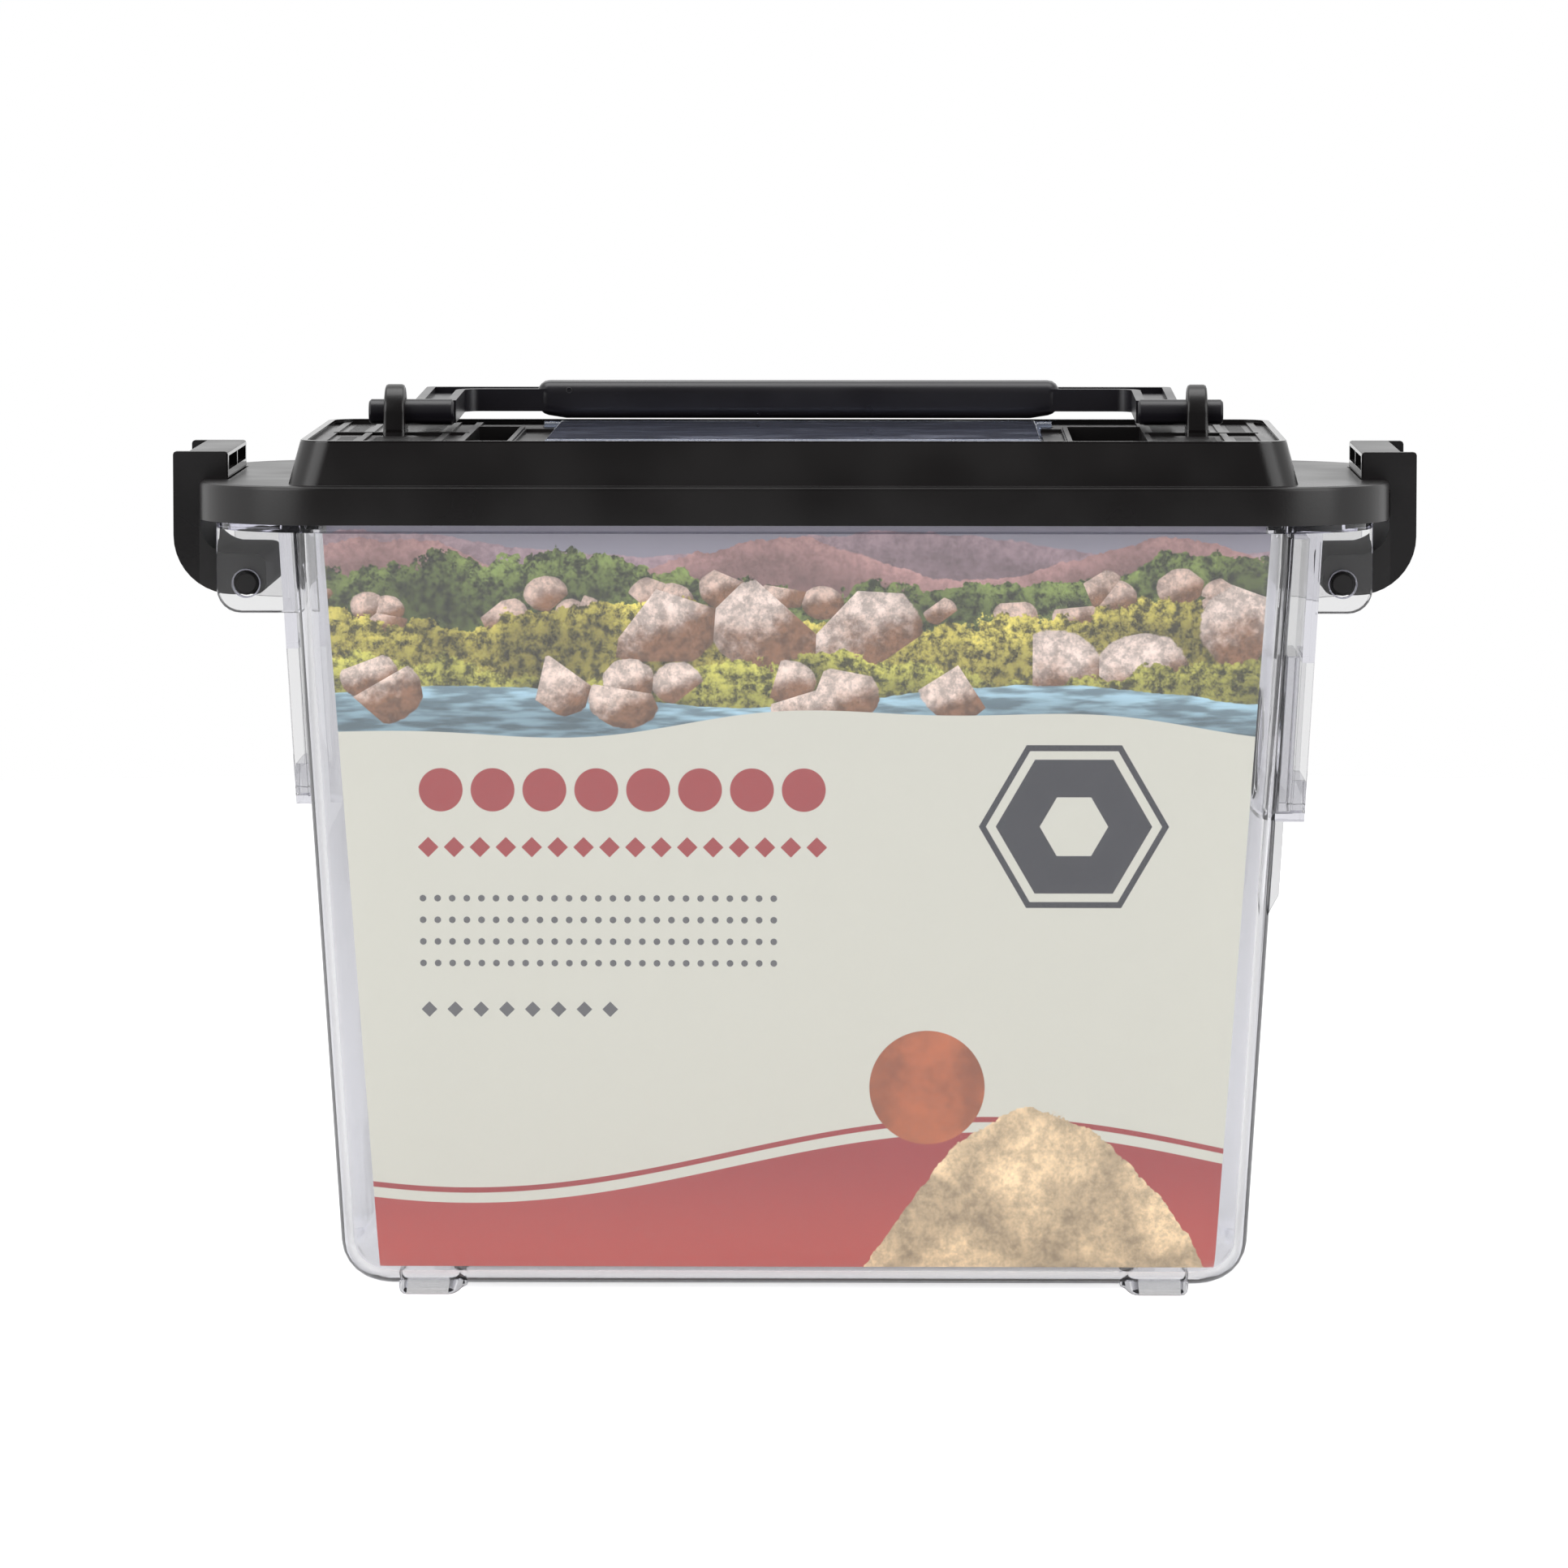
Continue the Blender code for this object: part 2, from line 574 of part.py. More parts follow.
def deck_half(z):
    """Half sizes of the raised deck's outer face at a height."""
    share = (z - FLANGE_TOP) / (DECK_TOP - FLANGE_TOP)
    half_x = DECK_BASE_HALF_X + (DECK_TOP_HALF_X - DECK_BASE_HALF_X) * share
    half_y = DECK_BASE_HALF_Y + (DECK_TOP_HALF_Y - DECK_BASE_HALF_Y) * share
    return half_x, half_y


def inset_half(half, inset):
    return half[0] - inset, half[1] - inset


def ear(side):
    """Rounded ear that stands on the deck and carries one pin of the handle. It thins towards its top."""
    base = DECK_FLOOR - DECK_PLATE / 2
    height = HANDLE_PIN_Z + EAR_RADIUS - base
    dome = arc(0, HANDLE_PIN_Z, EAR_RADIUS, 0, 180, 14)
    points = [(-EAR_RADIUS, base), (EAR_RADIUS, base)] + dome
    middle = side * EAR_X
    bm = outline_along_x(points, middle - EAR_THICK / 2, middle + EAR_THICK / 2, EAR_EDGE)
    for v in bm.verts:
        thick = EAR_THICK + (EAR_TOP_THICK - EAR_THICK) * (v.co.z - base) / height
        v.co.x = middle + (v.co.x - middle) * thick / EAR_THICK
    return bm


def vent_slots(x, end, z):
    """A cutter for one panel's slots, which run along X side by side."""
    bm = bmesh.new()
    pitch = VENT_WIDTH + VENT_BAR
    count = int((VENT_END_Y - VENT_START_Y + VENT_BAR) / pitch)
    size = Matrix.Diagonal((x[1] - x[0], VENT_WIDTH, z[1] - z[0], 1))
    for i in range(count):
        y = end * (VENT_START_Y + VENT_WIDTH / 2 + i * pitch)
        middle = Matrix.Translation(((x[0] + x[1]) / 2, y, (z[0] + z[1]) / 2))
        bmesh.ops.create_cube(bm, size=1.0, matrix=middle @ size)
    return bm


def make_lid():
    flange_half = (FLANGE_HALF_X, FLANGE_HALF_Y)
    flange = drafted_box(flange_half, flange_half, (FLANGE_BOTTOM, FLANGE_TOP), FLANGE_CORNER, 10)
    top = FLANGE_TOP - RUN_GAP
    round_edges(flange, lambda a, b: a.z > top and b.z > top, FLANGE_EDGE, 2)
    lid = place(flange, "lid", black_matt)
    root = FLANGE_TOP - FLANGE_PLATE / 2
    deck = drafted_box(deck_half(root), deck_half(DECK_TOP), (root, DECK_TOP), DECK_CORNER, 5)
    join(lid, deck)

    well_roof = DECK_FLOOR - DECK_PLATE / 2
    well_floor = DECK_FLOOR - WELL_DEPTH
    wells = (WELL_LEFT_X, WELL_RIGHT_X)

    # The hollow underside: inside the skirt, then up into the deck
    skirt_half = inset_half(flange_half, SKIRT)
    skirt_space = drafted_box(skirt_half, skirt_half, (FLANGE_BOTTOM - OVERRUN, FLANGE_TOP - FLANGE_PLATE),
                              FLANGE_CORNER - SKIRT, 10)
    hollow_low = FLANGE_TOP - FLANGE_PLATE - OVERRUN
    hollow_high = DECK_FLOOR - DECK_PLATE
    hollow = drafted_box(inset_half(deck_half(hollow_low), DECK_WALL),
                         inset_half(deck_half(hollow_high), DECK_WALL),
                         (hollow_low, hollow_high), DECK_CORNER - DECK_WALL, 4)
    cut(lid, skirt_space, hollow)

    # Sunk panel on top, its beads, and the ears
    panel_half = inset_half(deck_half(DECK_TOP), DECK_RIM)
    panel = drafted_box(panel_half, panel_half, (DECK_FLOOR, DECK_TOP + OVERRUN), DECK_CORNER - DECK_RIM, 4)
    cut(lid, panel)
    bead_z = (DECK_FLOOR - ROOT_DEPTH, DECK_FLOOR + BEAD_HEIGHT)
    for side in (-1, 1):
        bead_xs = [side * DECK_TOP_HALF_X * share for share in BEAD_X_SHARES]
        bead_xs = [x for x in bead_xs if not any(well[0] < x < well[1] for well in wells)]
        for bead_x in bead_xs:
            join(lid, slab((bead_x - BEAD_WIDTH / 2, bead_x + BEAD_WIDTH / 2),
                           (-panel_half[1] - ROOT_DEPTH / 2, panel_half[1] + ROOT_DEPTH / 2), bead_z))
        span = sorted((bead_xs[0], bead_xs[-1]))
        join(lid, slab(span, (-BEAD_WIDTH / 2, BEAD_WIDTH / 2), (bead_z[0], DECK_FLOOR + CROSS_BEAD_HEIGHT)))
        join(lid, ear(side))
        hole = (side * (EAR_X - EAR_THICK), side * (EAR_X + EAR_THICK))
        cut(lid, rod("X", HANDLE_PIN_RADIUS + RUN_GAP, hole, 0, HANDLE_PIN_Z))
        # Panels of vent slots, before and behind the ear
        to_slot = BEAD_WIDTH / 2 + VENT_SIDE_GAP
        for bay in range(VENT_BAYS):
            low_x, high_x = sorted((bead_xs[bay], bead_xs[bay + 1]))
            for end in (-1, 1):
                cut(lid, vent_slots((low_x + to_slot, high_x - to_slot), end,
                                    (DECK_FLOOR - DECK_PLATE - OVERRUN, DECK_FLOOR + OVERRUN)))

    # Finger wells beside the door, each with a raised frame, and a shallow shelf towards the door
    pocket_x = DOOR_HALF_X + RUN_GAP
    for well in wells:
        join(lid, slab((well[0] - WELL_WALL, well[1] + WELL_WALL), (WELL_FRONT_Y - WELL_WALL, WELL_BACK_Y + WELL_WALL),
                       (well_floor - WELL_WALL, well_roof)))
        join(lid, slab((well[0] - WELL_LIP, well[1] + WELL_LIP), (WELL_FRONT_Y - WELL_LIP, WELL_BACK_Y + WELL_LIP), bead_z))
        cut(lid, slab(well, (WELL_FRONT_Y, WELL_BACK_Y), (well_floor, DECK_TOP + OVERRUN)))
        near_edge = min(abs(well[0]), abs(well[1])) - SHELF_RIB
        shelf_x = sorted((math.copysign(near_edge, well[0]), math.copysign(pocket_x - OVERRUN, well[0])))
        cut(lid, slab(shelf_x, (WELL_FRONT_Y, WELL_BACK_Y), (DECK_FLOOR - SHELF_DEPTH, DECK_TOP + OVERRUN)))

    # The door's pocket, its opening, and the snap-in notches for its pins
    pocket_y = (DOOR_FRONT_Y - RUN_GAP, DOOR_HINGE_Y + DOOR_THICK / 2 + RUN_GAP)
    pocket_z = (DOOR_BOTTOM - RUN_GAP, DECK_TOP + OVERRUN)
    cut(lid, slab((-pocket_x, pocket_x), pocket_y, pocket_z))
    opening_x = DOOR_HALF_X - DOOR_LEDGE
    cut(lid, slab((-opening_x, opening_x), (DOOR_FRONT_Y + DOOR_LEDGE, DOOR_HINGE_Y - DOOR_BACK_LEDGE),
                  (DECK_FLOOR - DECK_PLATE - OVERRUN, DECK_TOP)))
    notch = DOOR_PIN_RADIUS + RUN_GAP
    for side in (-1, 1):
        notch_x = sorted((side * (DOOR_HALF_X - RUN_GAP), side * (DOOR_HALF_X + DOOR_PIN_LENGTH + RUN_GAP)))
        cut(lid, slab(notch_x, (DOOR_HINGE_Y - notch, DOOR_HINGE_Y + notch),
                      (DOOR_BOTTOM - RUN_GAP, DECK_TOP + OVERRUN)))

    # Sloped seats under the latch hooks
    drop = math.tan(SEAT_SLOPE) * (FLANGE_HALF_X + OVERRUN - SEAT_IN_X)
    for side in (-1, 1):
        seat = [(side * SEAT_IN_X, FLANGE_TOP), (side * (FLANGE_HALF_X + OVERRUN), FLANGE_TOP - drop),
                (side * (FLANGE_HALF_X + OVERRUN), FLANGE_TOP + OVERRUN), (side * SEAT_IN_X, FLANGE_TOP + OVERRUN)]
        half = LATCH_HALF_Y + RUN_GAP
        cut(lid, outline_along_y(seat, -half, half))
    finish(lid)
    return lid


def latch_outline():
    """Section of a latch on the +X side: hook, back, heel, knuckle and throat."""
    inner_x = FLANGE_HALF_X + RUN_GAP
    slope = math.tan(SEAT_SLOPE)
    hook_z = FLANGE_TOP + RUN_GAP

    def under_hook(x):
        return hook_z - max(0.0, x - SEAT_IN_X) * slope

    throat_z = KNUCKLE_TOP + LATCH_THROAT_RADIUS
    throat_x = inner_x - LATCH_THROAT_RADIUS
    heel_z = LATCH_PIN_Z - LATCH_PIN_RADIUS + LATCH_HEEL_RADIUS
    heel_x = LATCH_OUT_X - LATCH_HEEL_RADIUS
    knuckle_low = heel_z - LATCH_HEEL_RADIUS
    points = [(LATCH_TIP_X, under_hook(LATCH_TIP_X)), (inner_x, under_hook(inner_x))]
    points += arc(throat_x, throat_z, LATCH_THROAT_RADIUS, 0, -80, 7)
    points += arc(KNUCKLE_IN_X + KNUCKLE_CORNER, KNUCKLE_TOP - KNUCKLE_CORNER, KNUCKLE_CORNER, 90, 180, 4)
    points += arc(KNUCKLE_IN_X + KNUCKLE_CORNER, knuckle_low + KNUCKLE_CORNER, KNUCKLE_CORNER, 180, 270, 4)
    points += arc(heel_x, heel_z, LATCH_HEEL_RADIUS, -90, 0, 10)
    points += arc(LATCH_OUT_X - LATCH_EDGE, LATCH_TOP - LATCH_EDGE, LATCH_EDGE, 0, 90, 2)
    points += arc(LATCH_TIP_X + LATCH_EDGE, LATCH_TOP - LATCH_EDGE, LATCH_EDGE, 90, 180, 2)
    return points


def make_latch(name, side):
    points = [(side * x, z) for x, z in latch_outline()]
    obj = place(outline_along_y(points, -LATCH_HALF_Y, LATCH_HALF_Y), name, black_matt)
    scoop_x = FLANGE_HALF_X + RUN_GAP + SCOOP_SKIN + SCOOP_RADIUS
    scoop_z = LATCH_TOP - SCOOP_DROP
    scoop_half = LATCH_HALF_Y - LATCH_CHEEK
    cut(obj, rod("Y", SCOOP_RADIUS, (-scoop_half, scoop_half), side * scoop_x, scoop_z, 48))
    core_z = (FLANGE_TOP + RUN_GAP + HOOK_CORE_FLOOR, LATCH_TOP - HOOK_CORE_ROOF)
    core_x = sorted((side * (LATCH_TIP_X - OVERRUN), side * (LATCH_TIP_X + HOOK_CORE_DEPTH)))
    for end in (-1, 1):
        core_y = sorted((end * HOOK_RIB / 2, end * (LATCH_HALF_Y - LATCH_CHEEK)))
        cut(obj, slab(core_x, core_y, core_z))
    pin_end = LUG_IN_Y + LUG_THICK - RUN_GAP
    join(obj, rod("Y", LATCH_PIN_RADIUS, (-pin_end, pin_end), side * LATCH_PIN_X, LATCH_PIN_Z, edge=PIN_EDGE))
    finish(obj)
    set_pivot(obj, (side * LATCH_PIN_X, 0, LATCH_PIN_Z))
    return obj


def grip_body(y_from, y_to):
    """Thick middle of the handle's bar, its underside drawn up towards both ends."""
    bm = slab((-GRIP_HALF_X, GRIP_HALF_X), (y_from, y_to), (-GRIP_HEIGHT / 2, GRIP_HEIGHT / 2))
    slope_x = GRIP_HALF_X - GRIP_TAPER
    for side in (-1, 1):
        bmesh.ops.bisect_plane(bm, geom=bm.verts[:] + bm.edges[:] + bm.faces[:],
                               plane_co=(side * slope_x, 0, 0), plane_no=(1, 0, 0))
    for v in bm.verts:
        if v.co.z < 0 and abs(v.co.x) > slope_x + RUN_GAP:
            v.co.z += GRIP_RISE
    round_edges(bm, lambda a, b: abs(a.x - b.x) > RUN_GAP or abs(a.x) > slope_x + RUN_GAP, GRIP_ROUND, 4)
    return bm


def make_handle():
    """Folding handle, modelled flat about its pins and then lifted to its rest angle."""
    half_thick = HANDLE_THICK / 2
    frame = slab((-HANDLE_HALF_X, HANDLE_HALF_X), (0, HANDLE_REACH), (-half_thick, half_thick))
    round_edges(frame, lambda a, b: upright(a, b) and a.y > HANDLE_REACH / 2, HANDLE_CORNER, 5)
    obj = place(frame, "carry_handle", black_matt)
    inner_x = HANDLE_HALF_X - ARM_WIDTH
    inner_y = HANDLE_REACH - BAR_DEPTH
    gap = slab((-inner_x, inner_x), (-HANDLE_REACH, inner_y), (-HANDLE_THICK, HANDLE_THICK))
    round_edges(gap, lambda a, b: upright(a, b) and a.y > 0, HANDLE_FILLET, 4)
    cut(obj, gap)
    # The open channel along arms and bar
    groove_x = HANDLE_HALF_X - HANDLE_RIM
    groove = slab((-groove_x, groove_x), (HANDLE_PIN_RADIUS + HANDLE_RIM, HANDLE_REACH - HANDLE_RIM),
                  (-half_thick + HANDLE_WEB, HANDLE_THICK))
    ring = place(groove, "groove", cutter=True)
    keep_x = inner_x + HANDLE_RIM
    keep = slab((-keep_x, keep_x), (-HANDLE_REACH, inner_y + HANDLE_RIM), (-HANDLE_THICK, HANDLE_THICK + OVERRUN))
    round_edges(keep, lambda a, b: upright(a, b) and a.y > 0, HANDLE_FILLET + HANDLE_RIM, 4)
    cut(ring, keep)
    tool = bmesh.new()
    tool.from_mesh(ring.data)
    bpy.data.objects.remove(ring, do_unlink=True)
    cut(obj, tool)
    join(obj, grip_body(inner_y - RUN_GAP, HANDLE_REACH + RUN_GAP))
    for side in (-1, 1):
        pin = (side * (inner_x + RUN_GAP), side * HANDLE_PIN_END_X)
        join(obj, rod("X", HANDLE_PIN_RADIUS, pin, 0, 0, edge=PIN_EDGE))
    finish(obj)
    obj.location = (0, 0, HANDLE_PIN_Z)
    obj.rotation_euler = (HANDLE_LIFT, 0, 0)
    return obj


def make_trapdoor():
    """Clear flap with a round hinge edge at the back and a stub pin at each end of it."""
    half = DOOR_THICK / 2
    mid_z = DOOR_BOTTOM + half
    hinge = arc(DOOR_HINGE_Y, mid_z, half, -90, 90, 8)
    front = [(DOOR_FRONT_Y, DOOR_BOTTOM + DOOR_THICK - DOOR_EDGE / 2),
             (DOOR_FRONT_Y, DOOR_BOTTOM)]
    points = hinge + [(DOOR_FRONT_Y + DOOR_EDGE / 2, DOOR_BOTTOM + DOOR_THICK)] + front
    body = outline_along_x(points, -DOOR_HALF_X, DOOR_HALF_X)
    obj = place(body, "trapdoor", clear_door)
    # Sloped ends
    for side in (-1, 1):
        end_x = side * DOOR_HALF_X
        slope = [(end_x, DOOR_BOTTOM + DOOR_THICK - DOOR_EDGE), (end_x - side * DOOR_EDGE, DOOR_BOTTOM + DOOR_THICK),
                 (end_x - side * DOOR_EDGE, DOOR_BOTTOM + DOOR_THICK + OVERRUN),
                 (end_x + side * OVERRUN, DOOR_BOTTOM + DOOR_THICK + OVERRUN),
                 (end_x + side * OVERRUN, DOOR_BOTTOM + DOOR_THICK - DOOR_EDGE)]
        cut(obj, outline_along_y(slope, DOOR_FRONT_Y - OVERRUN, DOOR_HINGE_Y + DOOR_THICK))
    for side in (-1, 1):
        pin = (side * (DOOR_HALF_X - DOOR_EDGE * 2), side * (DOOR_HALF_X + DOOR_PIN_LENGTH))
        join(obj, rod("X", DOOR_PIN_RADIUS, pin, DOOR_HINGE_Y, mid_z, 16))
    finish(obj)
    set_pivot(obj, (0, DOOR_HINGE_Y, mid_z))
    return obj


def make_card():
    """Printed card that stands on the tub's floor and leans on the front wall."""
    floor = BODY_BOTTOM + WALL
    inner_round = BASE_ROUND - WALL
    foot_y = wall_y(floor) - BASE_ROUND
    bottom_half = wall_x(floor) - WALL - CARD_BOTTOM_SIDE_GAP
    top_half = wall_x(CARD_TOP) - WALL - CARD_TOP_SIDE_GAP
    into_round = max(0.0, inner_round + CARD_SLIP - CARD_BOTTOM_SIDE_GAP)
    rise = inner_round - math.sqrt(inner_round ** 2 - into_round ** 2)
    low = floor + rise + RUN_GAP
    inner_corner = BODY_CORNER - WALL
    into_corner = max(0.0, inner_corner + CARD_SLIP - CARD_TOP_SIDE_GAP)
    setback = inner_corner - math.sqrt(inner_corner ** 2 - into_corner ** 2) + RUN_GAP
    top_y = wall_y(CARD_TOP) - WALL - setback
    bm = slab((-1, 1), (0, CARD_THICK), (low, CARD_TOP))
    for v in bm.verts:
        at_top = v.co.z > (low + CARD_TOP) / 2
        v.co.x = CARD_SLIP + v.co.x * (top_half if at_top else bottom_half)
        v.co.y -= top_y if at_top else foot_y
    obj = place(bm, "label_card", card_print)
    finish(obj)
    return obj


def make_tube(name, lane):
    """Hiding tube lying on the floor: one closed end, a plain collar, and ring grooves inside."""
    low = BODY_BOTTOM + WALL + RUN_GAP + TUBE_RADIUS
    length = TUBE_LENGTH
    groove_pitch = (length - 2 * TUBE_END_WALL) / (TUBE_GROOVES + 1)
    depth = TUBE_GROOVE
    # Profile in (radius, height): down the outer side, across the closed end, up the bore
    profile = [(TUBE_RADIUS - depth, length), (TUBE_RADIUS, length - depth), (TUBE_RADIUS, TUBE_COLLAR),
               (TUBE_RADIUS - TUBE_COLLAR, 0), (0, 0)]
    profile += [(0, TUBE_END_WALL), (TUBE_BORE, TUBE_END_WALL)]
    for i in range(TUBE_GROOVES):
        z = TUBE_END_WALL + groove_pitch * (i + GROOVE_START_SHARE)
        profile += [(TUBE_BORE, z), (TUBE_BORE + depth, z + depth), (TUBE_BORE + depth, z + 2 * depth),
                    (TUBE_BORE, z + 3 * depth)]
    profile += [(TUBE_BORE, length)]
    bm = bmesh.new()
    verts = [bm.verts.new((r, 0, z)) for r, z in profile]
    for a, b in zip(verts, verts[1:] + verts[:1]):
        bm.edges.new((a, b))
    obj = place(bm, name, black_tube)
    screw = obj.modifiers.new("turn", "SCREW")
    screw.axis = "Z"
    screw.angle = math.tau
    screw.steps = 24
    screw.render_steps = 24
    screw.use_merge_vertices = True
    screw.merge_threshold = WELD_GAP
    obj.rotation_euler = (0, math.pi / 2, 0)
    obj.location = (-length / 2, lane, low)
    return obj


make_tub()
make_lid()
make_trapdoor()
make_handle()
make_latch("latch_left", -1)
make_latch("latch_right", 1)
make_gate("port_gate_left", -1)
make_gate("port_gate_right", 1)
make_card()
make_tube("hiding_tube_front", -TUBE_SPACING / 2)
make_tube("hiding_tube_back", TUBE_SPACING / 2)
print("built", len(parts.objects), "pieces")
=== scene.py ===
import math

import bpy
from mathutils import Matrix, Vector


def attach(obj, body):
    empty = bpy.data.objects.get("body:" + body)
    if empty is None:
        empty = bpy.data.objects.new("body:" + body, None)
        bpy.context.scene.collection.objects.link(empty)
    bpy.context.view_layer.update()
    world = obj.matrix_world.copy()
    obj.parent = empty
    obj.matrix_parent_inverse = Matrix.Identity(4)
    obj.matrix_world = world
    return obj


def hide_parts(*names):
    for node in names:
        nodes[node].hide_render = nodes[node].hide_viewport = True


# Clear insect keeper with a latched black lid: studio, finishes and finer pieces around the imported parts.
# Sizes are in metres, front towards -Y.

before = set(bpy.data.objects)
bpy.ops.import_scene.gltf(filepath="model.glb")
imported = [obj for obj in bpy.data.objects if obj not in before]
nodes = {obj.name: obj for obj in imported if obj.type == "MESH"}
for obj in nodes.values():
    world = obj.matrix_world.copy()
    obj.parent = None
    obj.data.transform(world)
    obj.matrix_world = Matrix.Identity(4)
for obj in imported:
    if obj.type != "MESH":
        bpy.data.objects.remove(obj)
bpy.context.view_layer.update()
print("frame loaded,", len(nodes), "parts")


# Camera, at the photograph's place and angle

cameraSetup = {
    "place": (0.0183, -1.423, 0.2095),
    "tiltDown": 5.12,     # degrees, as is the turn
    "turnLeft": 0.816,
    "lens": 195.65,
    "sensor": 36.0,
}


def deselectAll():
    for obj in bpy.context.selected_objects:
        obj.select_set(False)


def addCamera(setup):
    deselectAll()
    turn = (math.radians(90 - setup["tiltDown"]), 0, math.radians(setup["turnLeft"]))
    bpy.ops.object.camera_add(location=setup["place"], rotation=turn)
    camera = bpy.context.object
    camera.name = "photoCamera"
    camera.data.lens = setup["lens"]
    camera.data.sensor_width = setup["sensor"]
    bpy.context.scene.camera = camera


addCamera(cameraSetup)
bpy.context.scene.view_settings.view_transform = "Standard"
print("camera ready")


# Small helpers for shader trees

def link(tree, source, target):
    tree.links.new(source, target)


def addNode(tree, kind, **settings):
    node = tree.nodes.new(kind)
    for name, value in settings.items():
        setattr(node, name, value)
    return node


def plug(tree, socket, value):
    # a socket takes either another socket or a plain value
    if isinstance(value, bpy.types.NodeSocket):
        tree.links.new(value, socket)
    else:
        socket.default_value = value


def calc(tree, operation, first, second=0.0, third=0.0):
    node = addNode(tree, "ShaderNodeMath", operation=operation)
    for socket, value in zip(node.inputs, (first, second, third)):
        plug(tree, socket, value)
    return node.outputs[0]


def blendColor(tree, amount, first, second):
    node = addNode(tree, "ShaderNodeMix", data_type="RGBA")
    plug(tree, node.inputs[0], amount)
    plug(tree, node.inputs[6], (*first, 1.0) if isinstance(first, tuple) else first)
    plug(tree, node.inputs[7], (*second, 1.0) if isinstance(second, tuple) else second)
    return node.outputs[2]


def remap(tree, value, low, high, toLow=0.0, toHigh=1.0, smooth=True):
    node = addNode(tree, "ShaderNodeMapRange", interpolation_type="SMOOTHSTEP" if smooth else "LINEAR")
    for socket, number in zip(node.inputs, (value, low, high, toLow, toHigh)):
        plug(tree, socket, number)
    return node.outputs[0]


def noise(tree, vector, scale, detail=2.0, roughness=0.5):
    node = addNode(tree, "ShaderNodeTexNoise")
    plug(tree, node.inputs["Vector"], vector)
    plug(tree, node.inputs["Scale"], scale)
    node.inputs["Detail"].default_value = detail
    node.inputs["Roughness"].default_value = roughness
    return node.outputs[0]


def objectCoords(tree):
    return addNode(tree, "ShaderNodeTexCoord").outputs["Object"]


def newMaterial(name, **plain):
    # a Principled material with its plain values set on their own sockets
    material = bpy.data.materials.new(name)
    material.use_nodes = True
    tree = material.node_tree
    shader = tree.nodes["Principled BSDF"]
    for label, value in plain.items():
        socket = shader.inputs[label.replace("_", " ")]
        socket.default_value = (*value, 1.0) if isinstance(value, tuple) and len(value) == 3 else value
    return material, tree, shader


def splitVector(tree, vector):
    parts = addNode(tree, "ShaderNodeSeparateXYZ")
    link(tree, vector, parts.inputs[0])
    return parts.outputs


def between(tree, value, low, high):
    # 1 where the value lies between the two, else 0
    over = calc(tree, "GREATER_THAN", value, low)
    return calc(tree, "MULTIPLY", over, calc(tree, "LESS_THAN", value, high))


def mixValue(tree, amount, first, second):
    node = addNode(tree, "ShaderNodeMix", data_type="FLOAT")
    link(tree, amount, node.inputs[0])
    plug(tree, node.inputs[2], first)
    plug(tree, node.inputs[3], second)
    return node.outputs[0]


def newGroup(name, inputs, outputs):
    group = bpy.data.node_groups.new(name, "ShaderNodeTree")
    for way, labels in (("INPUT", inputs), ("OUTPUT", outputs)):
        for label in labels:
            group.interface.new_socket(name=label, in_out=way, socket_type="NodeSocketFloat")
    return group, group.nodes.new("NodeGroupInput"), group.nodes.new("NodeGroupOutput")


def useGroup(tree, group, **values):
    node = addNode(tree, "ShaderNodeGroup", node_tree=group)
    for label, value in values.items():
        node.inputs[label.replace("_", " ")].default_value = value
    return node


def addBump(tree, shader, height, strength, distance):
    bump = addNode(tree, "ShaderNodeBump")
    bump.inputs["Strength"].default_value = strength
    bump.inputs["Distance"].default_value = distance
    link(tree, height, bump.inputs["Height"])
    link(tree, bump.outputs["Normal"], shader.inputs["Normal"])


# Studio: pale floor, soft lamps, a white world that is darker towards the front

studio = {
    "floorRadius": 0.95,
    "floorSides": 96,
    "floorColor": (0.80, 0.80, 0.81),
    "floorRough": 0.9,
    "floorGlow": 0.70,            # to the camera
    "floorClear": 0.12,           # through the clear walls
    # painted light: extra floor glow right under the box, where its shadow falls, seen through the clear
    # walls and in reflections
    "floorUnderGlow": 0.08,           # more of it right under the box
    "underSize": (0.112, 0.056),  # half of the bright patch, along X and Y
    "underSoft": 0.012,
    "floorGlint": 0.10,           # in reflections, before the box
    "floorGlintBack": 0.11,       # and behind it
    "glintTurn": (-0.02, 0.12),   # between these two places along Y
    "worldFill": 0.36,
    "frontGloss": 0.10,           # reflections of the viewer's side
    "frontClear": 0.85,           # what clear walls bend in from the viewer's side
    "worldBack": 1.0,
    "worldTurn": (-0.85, -0.15),  # directions between the viewer's side and the rest
}

lamps = {
    "keyLeft": {"place": (-0.95, -0.95, 0.62), "size": (1.00, 1.10), "power": 9.0},
    "keyRight": {"place": (1.00, -0.90, 0.58), "size": (1.00, 1.10), "power": 8.0},
    "overhead": {"place": (0.0, 0.10, 1.25), "size": (1.10, 0.80), "power": 7.0},
}

lampAim = (0, 0, 0.07)


